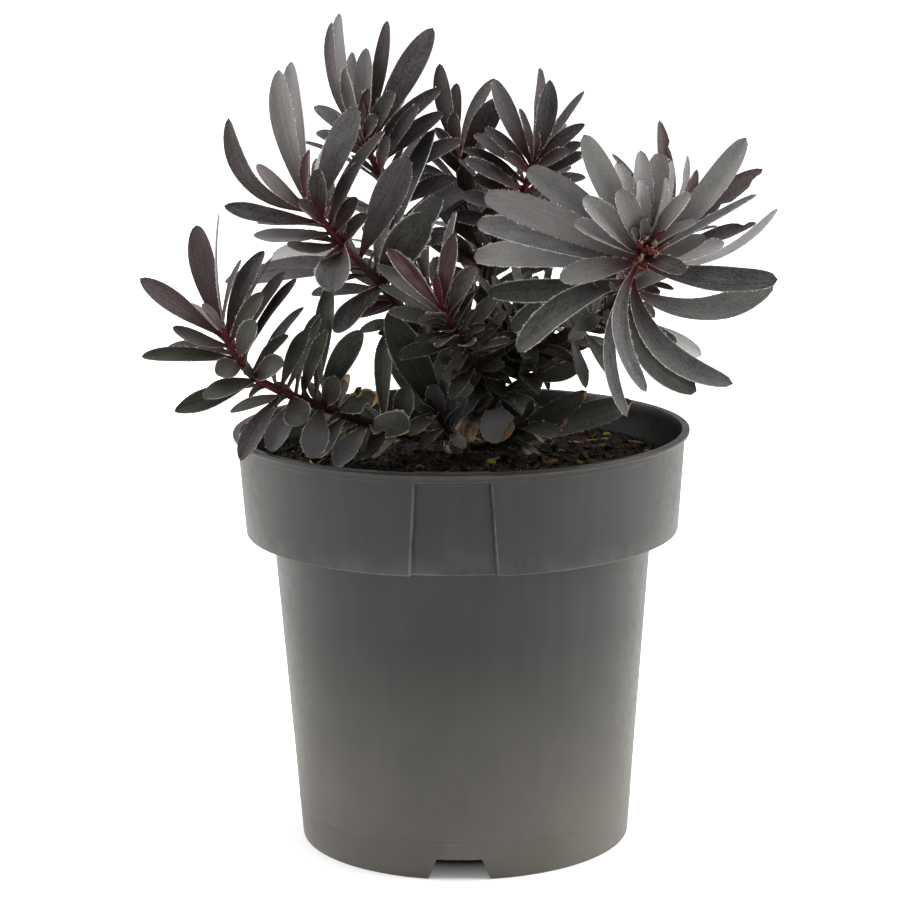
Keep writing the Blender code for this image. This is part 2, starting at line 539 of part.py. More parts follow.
def panel_columns():
    """Base azimuths of the turned surface's columns, and each one's place on a panel edge.

    A column is (azimuth, panel centre, side, inset): side is -1, 0 or 1, and inset is whether
    it runs along the foot of the panel's side wall.
    """
    columns = []
    for degrees in range(COLUMN_START, 360 + COLUMN_START, COLUMN_STEP):
        centre = 270 if abs(degrees - 270) <= COLUMN_STEP else 90
        side = round((degrees - centre) / COLUMN_STEP)
        if abs(side) == 1:
            insets = (0, 1) if side < 0 else (1, 0)
            columns += [(centre, side, inset) for inset in insets]
        else:
            columns.append((degrees, 0, int(side == 0)))
    return columns


def turned(profile, name, material, jitter=None):
    """Closed solid turned round the Z axis from (radius, height, panel share, tab share) rows.

    The first and last rows close onto the axis. On the front and back panels a point moves
    in by its panel share of the panel's depth, and up by its tab share of the tab's height.
    """
    columns = panel_columns()
    verts = []
    for row, (radius, height, panel_share, tab_share) in enumerate(profile):
        rise = np.clip((height - BAND_BOTTOM_HEIGHT) / (PANEL_TOP_HEIGHT - BAND_BOTTOM_HEIGHT), 0, 1)
        half = PANEL_HALF_ANGLE_BOTTOM + (PANEL_HALF_ANGLE_TOP - PANEL_HALF_ANGLE_BOTTOM) * rise
        for number, (centre, side, inset) in enumerate(columns):
            azimuth = math.radians(centre + side * (half - PANEL_SIDE_ANGLE * inset))
            reach = radius - PANEL_DEPTH * panel_share * inset
            lift = PANEL_TAB_HEIGHT * tab_share * inset
            if jitter is not None:
                lift += jitter[row, number]
            verts.append((reach * math.cos(azimuth), reach * math.sin(azimuth), height + lift))
    count = len(columns)
    faces = []
    for row in range(len(profile) - 1):
        for column in range(count):
            a = row * count + column
            b = row * count + (column + 1) % count
            faces += [(a, b, b + count), (a, b + count, a + count)]
    first, last = len(verts), len(verts) + 1
    verts += [(0, 0, profile[0][1]), (0, 0, profile[-1][1])]
    top = (len(profile) - 1) * count
    for column in range(count):
        turn = (column + 1) % count
        faces += [(first, turn, column), (last, top + column, top + turn)]
    return new_object(name, verts, faces, material)


def body_radius(height):
    """Outer radius of the pot's tapered body."""
    return BASE_RADIUS + (BODY_TOP_RADIUS - BASE_RADIUS) * height / BAND_BOTTOM_HEIGHT


def band_radius(height):
    """Outer radius of the pot's band."""
    rise = (height - BAND_BOTTOM_HEIGHT) / (PANEL_TOP_HEIGHT - BAND_BOTTOM_HEIGHT)
    return BAND_BOTTOM_RADIUS + (BAND_TOP_RADIUS - BAND_BOTTOM_RADIUS) * rise


def make_pot(material):
    """Single-walled pot: stepped band with a panel front and back, foot ring, raised base."""
    plate_top = BASE_PLATE_HEIGHT + BASE_PLATE_THICKNESS
    slope_top = PANEL_TOP_HEIGHT + PANEL_TOP_SLOPE
    ledge = BAND_BOTTOM_HEIGHT + WALL
    lip_bottom = RIM_HEIGHT - LIP_HEIGHT
    profile = [
        (CENTRE_FOOT_RADIUS, 0, 0, 0),
        (CENTRE_FOOT_RADIUS + FOOT_DRAFT, BASE_PLATE_HEIGHT, 0, 0),
        (body_radius(BASE_PLATE_HEIGHT) - WALL, BASE_PLATE_HEIGHT, 0, 0),
        (BASE_RADIUS - WALL, 0, 0, 0),
        (BASE_RADIUS, 0, 0, 0),
        (BODY_TOP_RADIUS, BAND_BOTTOM_HEIGHT, 0, 0),
        (BAND_BOTTOM_RADIUS, BAND_BOTTOM_HEIGHT, 1, 0),
        (band_radius(PANEL_TOP_HEIGHT), PANEL_TOP_HEIGHT, 1, 0),
        (band_radius(slope_top), slope_top, 0, 0),
        (band_radius(lip_bottom), lip_bottom, 0, 0),
        (RIM_RADIUS, lip_bottom + LIP_CHAMFER, 0, 0),
        (RIM_RADIUS, RIM_HEIGHT, 0, 1),
        (RIM_RADIUS - LIP_WIDTH, RIM_HEIGHT, 0, 1),
        (band_radius(slope_top) - WALL, slope_top, 0, 0),
        (band_radius(PANEL_TOP_HEIGHT) - WALL, PANEL_TOP_HEIGHT - PANEL_TOP_SLOPE, 1, 0),
        (BAND_BOTTOM_RADIUS - WALL, ledge, 1, 0),
        (BODY_TOP_RADIUS - WALL, ledge, 0, 0),
        (body_radius(plate_top) - WALL, plate_top, 0, 0),
        (CENTRE_FOOT_RADIUS, plate_top, 0, 0),
        (CENTRE_FOOT_RADIUS - FOOT_DRAFT, BASE_PLATE_THICKNESS, 0, 0),
    ]
    pot = turned(profile, "pot", material)
    cut(pot, notch_cutters() + drain_cutters())
    keep_outer_skin(pot)
    return pot


def notch_cutters():
    """Trapezoid prisms through the foot ring, front and back."""
    cutters = []
    for side in (-1, 1):
        near, far = side * (BASE_RADIUS - NOTCH_REACH), side * (BASE_RADIUS + NOTCH_REACH)
        top = NOTCH_HEIGHT - NOTCH_TOP_DROP
        corners = [(-NOTCH_BOTTOM_WIDTH / 2, -CUT_MARGIN), (NOTCH_BOTTOM_WIDTH / 2, -CUT_MARGIN),
                   (NOTCH_TOP_WIDTH / 2, top), (-NOTCH_TOP_WIDTH / 2, top)]
        verts = [(x, y, z) for y in sorted((near, far)) for x, z in corners]
        faces = [(0, 1, 2, 3), (7, 6, 5, 4), (0, 4, 5, 1), (1, 5, 6, 2), (2, 6, 7, 3), (3, 7, 4, 0)]
        cutters.append(new_object("notch_cutter", verts, faces, None))
    return cutters


def drain_cutters():
    """Round holes through the raised base."""
    cutters = []
    for number in range(DRAIN_HOLE_COUNT):
        angle = (number + 0.5) * math.tau / DRAIN_HOLE_COUNT
        place = np.array([math.cos(angle), math.sin(angle), 0]) * DRAIN_HOLE_CIRCLE
        plate_top = BASE_PLATE_HEIGHT + BASE_PLATE_THICKNESS
        line = place + np.array([[0, 0, BASE_PLATE_HEIGHT - CUT_MARGIN], [0, 0, plate_top + CUT_MARGIN]])
        verts, faces = tube(line, [DRAIN_HOLE_RADIUS] * 2, DRAIN_HOLE_SIDES, False)
        cutters.append(new_object("drain_cutter", verts, faces, None))
    return cutters


def make_soil(material):
    """Soil filling the pot up to below the rim, with an uneven top and a hole for the trunk."""
    plate_top = BASE_PLATE_HEIGHT + BASE_PLATE_THICKNESS + GAP
    ledge = BAND_BOTTOM_HEIGHT + WALL + GAP
    inset = WALL + GAP
    edge = SOIL_EDGE_HEIGHT - SOIL_EDGE_DROP
    profile = [
        (CENTRE_FOOT_RADIUS - FOOT_DRAFT - GAP, BASE_PLATE_THICKNESS + GAP, 0, 0),
        (CENTRE_FOOT_RADIUS - GAP, plate_top, 0, 0),
        (body_radius(plate_top - GAP) - inset, plate_top, 0, 0),
        (BODY_TOP_RADIUS - inset, ledge, 0, 0),
        (BAND_BOTTOM_RADIUS - inset, ledge, 1, 0),
        (band_radius(edge) - WALL - SOIL_EDGE_GAP, edge, 1, 0),
    ]
    flat_rows = len(profile)
    profile += [(radius, SOIL_HEIGHT, 0, 0) for radius in SOIL_RINGS]
    rng = np.random.default_rng(SEED)
    jitter = rng.uniform(-SOIL_BUMP, SOIL_BUMP, (len(profile), len(panel_columns())))
    jitter[:flat_rows - 1] = 0
    jitter[-1] = 0
    soil = turned(profile, "soil", material, jitter)
    x, y, _ = TRUNK[0][0]
    low, high = SOIL_HEIGHT - TRUNK_HOLE_DEPTH - GAP, SOIL_HEIGHT + SOIL_BUMP + CUT_MARGIN
    line = np.array([[x, y, low], [x, y, high]], float)
    verts, faces = tube(line, [TRUNK_HOLE_RADIUS] * 2, TRUNK_SIDES, False)
    cut(soil, [new_object("hole_cutter", verts, faces, None)])
    keep_outer_skin(soil)
    return soil


def shoot_lines():
    """For each shoot, the tube of its bare wood, that of its leafy stem, and the stem's middle."""
    lines = {}
    for name, shoot in SHOOTS.items():
        curve = smooth_path(shoot["path"], CURVE_POINTS)
        whole = path_length(curve)
        wood, wood_slopes = stretch(curve, 0, shoot["bare"])
        stem, stem_slopes = stretch(curve, shoot["bare"] + GAP, whole)
        thick, thin = shoot["radius"]
        lines[name] = {
            "wood": tube(wood, np.full(len(wood), thick), STEM_SIDES, False, wood_slopes),
            "stem": tube(stem, np.linspace(thick, thin, len(stem)), STEM_SIDES, True, stem_slopes),
            "line": smooth_path(stem, STEM_POINTS)}
    return lines


def wood_shapes(lines):
    """Tubes of the limbs and of each shoot's bare wood."""
    shapes = []
    for points, thick, thin in LIMBS.values():
        line = smooth_path(points, LIMB_RINGS)
        shapes.append(tube(line, np.linspace(thick, thin, len(line)), LIMB_SIDES, False))
    return shapes + [line["wood"] for line in lines.values()]


def mesh_shape(obj):
    """Vertices in millimetres and triangles of an object."""
    verts = np.array([v.co for v in obj.data.vertices], float) / MM
    return verts, [tuple(face.vertices) for face in obj.data.polygons]


def place_leaves(lines, solids):
    """Every shoot's leaves, each bent clear of the pot, the wood and the leaves before it."""
    crowd = Crowd()
    for name, shape in solids.items():
        crowd.add(name, *shape)
    for name, line in lines.items():
        crowd.add(name + " stem", *line["stem"])
    leaves = {name: [] for name in SHOOTS}
    for name, shoot in SHOOTS.items():
        for row in shoot["leaves"]:
            leaves[name].append(settle(crowd, name, lambda turn, lean, shorter: pictured_leaf(
                row, lines[name]["line"], turn, lean, shorter)))
    for order, (name, shoot) in enumerate(SHOOTS.items()):
        draws = np.random.default_rng(SEED + order).uniform(-1, 1, (shoot["spiral"], 4))
        for number in range(shoot["spiral"]):
            leaves[name].append(settle(crowd, name, lambda turn, lean, shorter: spiral_leaf(
                number, shoot, lines[name]["line"], draws[number], turn, lean, shorter)))
    return leaves


def main():
    """Builds every node in an empty scene."""
    for obj in list(bpy.data.objects):
        bpy.data.objects.remove(obj)
    pot = make_pot(new_material("pot", (0.105, 0.1, 0.095), 0.55))
    soil = make_soil(new_material("soil", (0.03, 0.022, 0.016), 0.95))
    bark = new_material("trunk", (0.09, 0.05, 0.035), 0.85)
    lines = shoot_lines()
    points, thick, thin = TRUNK
    trunk_line = smooth_path(points, TRUNK_RINGS)
    radii = np.linspace(thick, thin, TRUNK_RINGS)
    trunk = new_object("trunk", *tube(trunk_line, radii, TRUNK_SIDES, False), bark)
    fuse(trunk, wood_shapes(lines), bark)
    solids = {obj.name: mesh_shape(obj) for obj in (pot, soil, trunk)}
    leaves = place_leaves(lines, solids)
    for name, line in lines.items():
        foliage = new_material(name, (0.06, 0.05, 0.052), 0.6)
        shoot = new_object(name, *line["stem"], foliage)
        fuse(shoot, [shape for shape in leaves[name] if shape], foliage)


if __name__ == "__main__":
    main()
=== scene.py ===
# Looks of the potted leucadendron: a round moulded pot, potting mix, bark and velvety leaves.
# Lengths in the dictionaries are in millimetres, and mm turns them into metres.
import math

import bpy
import numpy as np
from mathutils import Matrix, Vector


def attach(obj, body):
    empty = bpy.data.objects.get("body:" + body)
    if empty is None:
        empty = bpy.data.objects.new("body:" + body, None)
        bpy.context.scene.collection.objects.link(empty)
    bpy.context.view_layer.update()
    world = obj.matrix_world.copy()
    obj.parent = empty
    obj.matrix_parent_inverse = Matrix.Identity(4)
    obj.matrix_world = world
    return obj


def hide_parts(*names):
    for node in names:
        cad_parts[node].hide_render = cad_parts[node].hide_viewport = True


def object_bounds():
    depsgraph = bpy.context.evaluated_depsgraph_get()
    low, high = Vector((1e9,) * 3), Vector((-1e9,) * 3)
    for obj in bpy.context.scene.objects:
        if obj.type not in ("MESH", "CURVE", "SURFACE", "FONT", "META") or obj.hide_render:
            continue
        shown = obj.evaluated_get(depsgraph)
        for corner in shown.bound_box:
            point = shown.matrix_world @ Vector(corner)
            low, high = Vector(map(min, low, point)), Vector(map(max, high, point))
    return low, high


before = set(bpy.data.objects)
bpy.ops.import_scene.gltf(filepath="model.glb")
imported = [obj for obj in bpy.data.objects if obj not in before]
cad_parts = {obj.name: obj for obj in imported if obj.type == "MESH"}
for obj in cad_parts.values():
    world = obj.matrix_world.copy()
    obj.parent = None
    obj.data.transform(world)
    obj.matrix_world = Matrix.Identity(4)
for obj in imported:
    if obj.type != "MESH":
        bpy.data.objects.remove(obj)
cadBox = [list(corner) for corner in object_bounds()]
mm = 0.001
goldenAngle = 137.5
towardsViewer = np.array([0.0, -0.98, 0.2])
offStem = (0.31, 0.87, 0.12)  # a direction that no stem takes, to start a cross product from
curveSteps = 60


def unit(vector):
    # vector over its own length, along the last axis
    vector = np.asarray(vector, float)
    return vector / np.linalg.norm(vector, axis=-1, keepdims=True)


def smoothStep(low, high, value):
    # 3t^2 - 2t^3 with t running from 0 at low to 1 at high
    t = np.clip((value - low) / (high - low), 0, 1)
    return t * t * (3 - 2 * t)


def smoothPath(points, count):
    # cubic Hermite curve through the points, read at even steps of its chord length
    points = np.asarray(points, float)
    knots = lengthsAlong(points)
    slopes = np.gradient(points, knots, axis=0)
    steps = np.linspace(0, knots[-1], count)
    low = np.clip(np.searchsorted(knots, steps, side="right") - 1, 0, len(points) - 2)
    span = (knots[low + 1] - knots[low])[:, None]
    t = (steps - knots[low])[:, None] / span
    return ((2 * t ** 3 - 3 * t ** 2 + 1) * points[low] + (t ** 3 - 2 * t ** 2 + t) * span * slopes[low]
            + (3 * t ** 2 - 2 * t ** 3) * points[low + 1] + (t ** 3 - t ** 2) * span * slopes[low + 1])


def lengthsAlong(line):
    # running length at each point of a line
    return np.concatenate([[0], np.cumsum(np.linalg.norm(np.diff(line, axis=0), axis=1))])


def cutLine(line, start, end, count):
    # the line's points at even steps between two lengths along it
    steps = np.linspace(start, end, count)
    return np.stack([np.interp(steps, lengthsAlong(line), line[:, axis]) for axis in range(3)], axis=1)


def around(angles):
    # points of the unit circle at the angles
    return np.stack([np.cos(angles), np.sin(angles)], axis=-1)


def gridQuads(rows, columns):
    # corner numbers of the quads between neighbouring rows of closed rings
    row = np.arange(rows - 1)[:, None]
    column = np.arange(columns)[None, :]
    across = (column + 1) % columns
    corners = [row * columns + column, row * columns + across,
               (row + 1) * columns + across, (row + 1) * columns + column]
    return np.stack(np.broadcast_arrays(*corners), axis=-1).reshape(-1, 4)


def fanTriangles(ring, centre, flip=False):
    # triangles from each edge of a closed ring of vertex numbers to one centre
    after = np.roll(ring, -1)
    first, second = (after, ring) if flip else (ring, after)
    return np.stack([first, second, np.full(len(ring), centre)], axis=1)


def ringFaces(rows, columns, first, last):
    # quads of a closed tube's rings, and the two fans that shut it at the vertices first and last
    ring = np.arange(columns)
    fans = [fanTriangles(ring, first, True), fanTriangles(ring + (rows - 1) * columns, last)]
    return gridQuads(rows, columns), np.concatenate(fans)


def handOver(rows, key, values, kind=np.float32):
    # a whole array into one of a mesh's lists
    rows.foreach_set(key, np.asarray(values).astype(kind).ravel())


class Shape:
    # gathers vertices, faces and the vertices' own values that become one mesh
    def __init__(self):
        self.verts, self.quads, self.tris, self.values, self.count = [], [], [], {}, 0

    def add(self, verts, quads, tris, **values):
        verts = np.asarray(verts, float).reshape(-1, 3)
        self.verts.append(verts)
        self.quads.append(np.asarray(quads, int).reshape(-1, 4) + self.count)
        self.tris.append(np.asarray(tris, int).reshape(-1, 3) + self.count)
        for name, rows in values.items():
            self.values.setdefault(name, []).append((self.count, np.asarray(rows, float)))
        self.count += len(verts)

    def build(self, name, material=None, sharpAngle=None):
        # one mesh object with its place in its vertices, in metres
        verts = np.concatenate(self.verts) * mm
        quads, tris = np.concatenate(self.quads), np.concatenate(self.tris)
        loops = np.concatenate([quads.ravel(), tris.ravel()])
        sizes = np.repeat((4, 3), (len(quads), len(tris)))
        mesh = bpy.data.meshes.new(name)
        mesh.vertices.add(len(verts))
        handOver(mesh.vertices, "co", verts)
        mesh.loops.add(len(loops))
        handOver(mesh.loops, "vertex_index", loops, np.int32)
        mesh.polygons.add(len(sizes))
        handOver(mesh.polygons, "loop_start", np.cumsum(sizes) - sizes, np.int32)
        mesh.update(calc_edges=True)
        for key, parts in self.values.items():
            full = np.zeros((len(verts), parts[0][1].shape[1]))
            for first, rows in parts:
                full[first:first + len(rows)] = rows
            if key == "leafUV":
                handOver(mesh.uv_layers.new(name=key).data, "uv", full[loops])
            else:
                handOver(mesh.color_attributes.new(key, "FLOAT_COLOR", "POINT").data, "color", full)
        mesh.shade_smooth()
        if sharpAngle:
            mesh.set_sharp_from_angle(angle=math.radians(sharpAngle))
        if material:
            mesh.materials.append(material)
        mesh.validate()
        obj = bpy.data.objects.new(name, mesh)
        bpy.context.scene.collection.objects.link(obj)
        return obj


def place(obj, slot, *nodes):
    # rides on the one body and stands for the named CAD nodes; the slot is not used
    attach(obj, "root")
    for node in nodes:
        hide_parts(node)


def sweptTube(line, radii, sides, ridges=None):
    # closed tube: circles of the given radii across the line's slope, turned least from one to the next
    slopes = unit(np.gradient(line, axis=0))
    across = unit(np.cross(slopes[0], offStem))
    frames = []
    for slope in slopes:
        across = unit(across - slope * (across @ slope))
        frames.append((across, np.cross(slope, across)))
    reach = np.asarray(radii, float)[:, None] * (1 if ridges is None else ridges)
    ring = np.einsum("sa,rax->rsx", around(np.arange(sides) * math.tau / sides), np.array(frames))
    verts = line[:, None] + ring * np.broadcast_to(reach, (len(line), sides))[..., None]
    tail = line[-1] + slopes[-1] * radii[-1] * 0.8
    count = len(line) * sides
    return (np.concatenate([verts.reshape(-1, 3), line[:1], tail[None]]),
            *ringFaces(len(line), sides, count, count + 1))


# Finishes

class Finish:
    # a node tree with the few kinds of node that the finishes are made of
    def __init__(self, tree):
        self.tree = tree

    def put(self, value, socket):
        # links a socket, or sets a number, a vector or an opaque colour
        if isinstance(value, bpy.types.NodeSocket):
            self.tree.links.new(value, socket)
        else:
            socket.default_value = (*value, 1) if socket.type == "RGBA" else value

    def node(self, kind, sockets=None, **settings):
        node = self.tree.nodes.new("ShaderNode" + kind)
        for key, value in settings.items():
            setattr(node, key, value)
        for key, value in (sockets or {}).items():
            self.put(value, node.inputs[key])
        return node

    def coat(self, sockets):
        # what the material's own shader gets
        for key, value in sockets.items():
            self.put(value, self.shader.inputs[key])

    def spot(self):
        return self.node("TexCoord").outputs["Object"]

    def attribute(self, name):
        return self.node("Attribute", attribute_name=name).outputs

    def channels(self, colour):
        return self.node("SeparateColor", {"Color": colour}).outputs

    def axes(self, vector):
        return self.node("SeparateXYZ", {"Vector": vector}).outputs

    def stretch(self, vector, *scale):
        return self.node("Mapping", {"Vector": vector, "Scale": scale}).outputs[0]

    def noise(self, vector, scale, detail=3.0, rough=0.55):
        sockets = {"Vector": vector, "Scale": scale, "Detail": detail, "Roughness": rough}
        return self.node("TexNoise", sockets).outputs["Fac"]

    def remap(self, value, low, high, toLow=0.0, toHigh=1.0):
        sockets = {"Value": value, "From Min": low, "From Max": high, "To Min": toLow, "To Max": toHigh}
        return self.node("MapRange", sockets).outputs["Result"]

    def calculate(self, kind, *values):
        return self.node("Math", dict(enumerate(values)), operation=kind).outputs[0]

    def times(self, first, second):
        return self.calculate("MULTIPLY", first, second)

    def plus(self, first, *others):
        for other in others:
            first = self.calculate("ADD", first, other)
        return first

    def mix(self, share, first, second):
        return self.node("Mix", {0: share, 6: first, 7: second}, data_type="RGBA").outputs[2]

    def bump(self, height, distance, strength):
        sockets = {"Height": height, "Distance": distance, "Strength": strength}
        return self.node("Bump", sockets).outputs["Normal"]


def newFinish(name, roughness, specular):
    material = bpy.data.materials.new(name)
    material.use_nodes = True
    paint = Finish(material.node_tree)
    paint.material = material
    paint.shader = material.node_tree.nodes["Principled BSDF"]
    paint.coat({"Roughness": roughness, "Specular IOR Level": specular})
    return paint


def weatheringGroup():
    # cloudy stains and fine dust from two noises on the piece's own coordinates
    group = bpy.data.node_groups.new("weathering", "ShaderNodeTree")
    for label, way, kind in (("Vector", "INPUT", "Vector"), ("Scale", "INPUT", "Float"),
                             ("Stain", "OUTPUT", "Float"), ("Dust", "OUTPUT", "Float")):
        group.interface.new_socket(label, in_out=way, socket_type="NodeSocket" + kind)
    given, made = group.nodes.new("NodeGroupInput").outputs, group.nodes.new("NodeGroupOutput").inputs
    paint = Finish(group)
    coarse = paint.noise(given["Vector"], given["Scale"], 4.0, 0.6)
    fine = paint.noise(given["Vector"], paint.times(given["Scale"], 9.0), 5.0, 0.65)
    paint.put(paint.remap(coarse, 0.35, 0.65), made["Stain"])
    paint.put(paint.remap(fine, 0.42, 0.72), made["Dust"])
    return group


weathering = weatheringGroup()


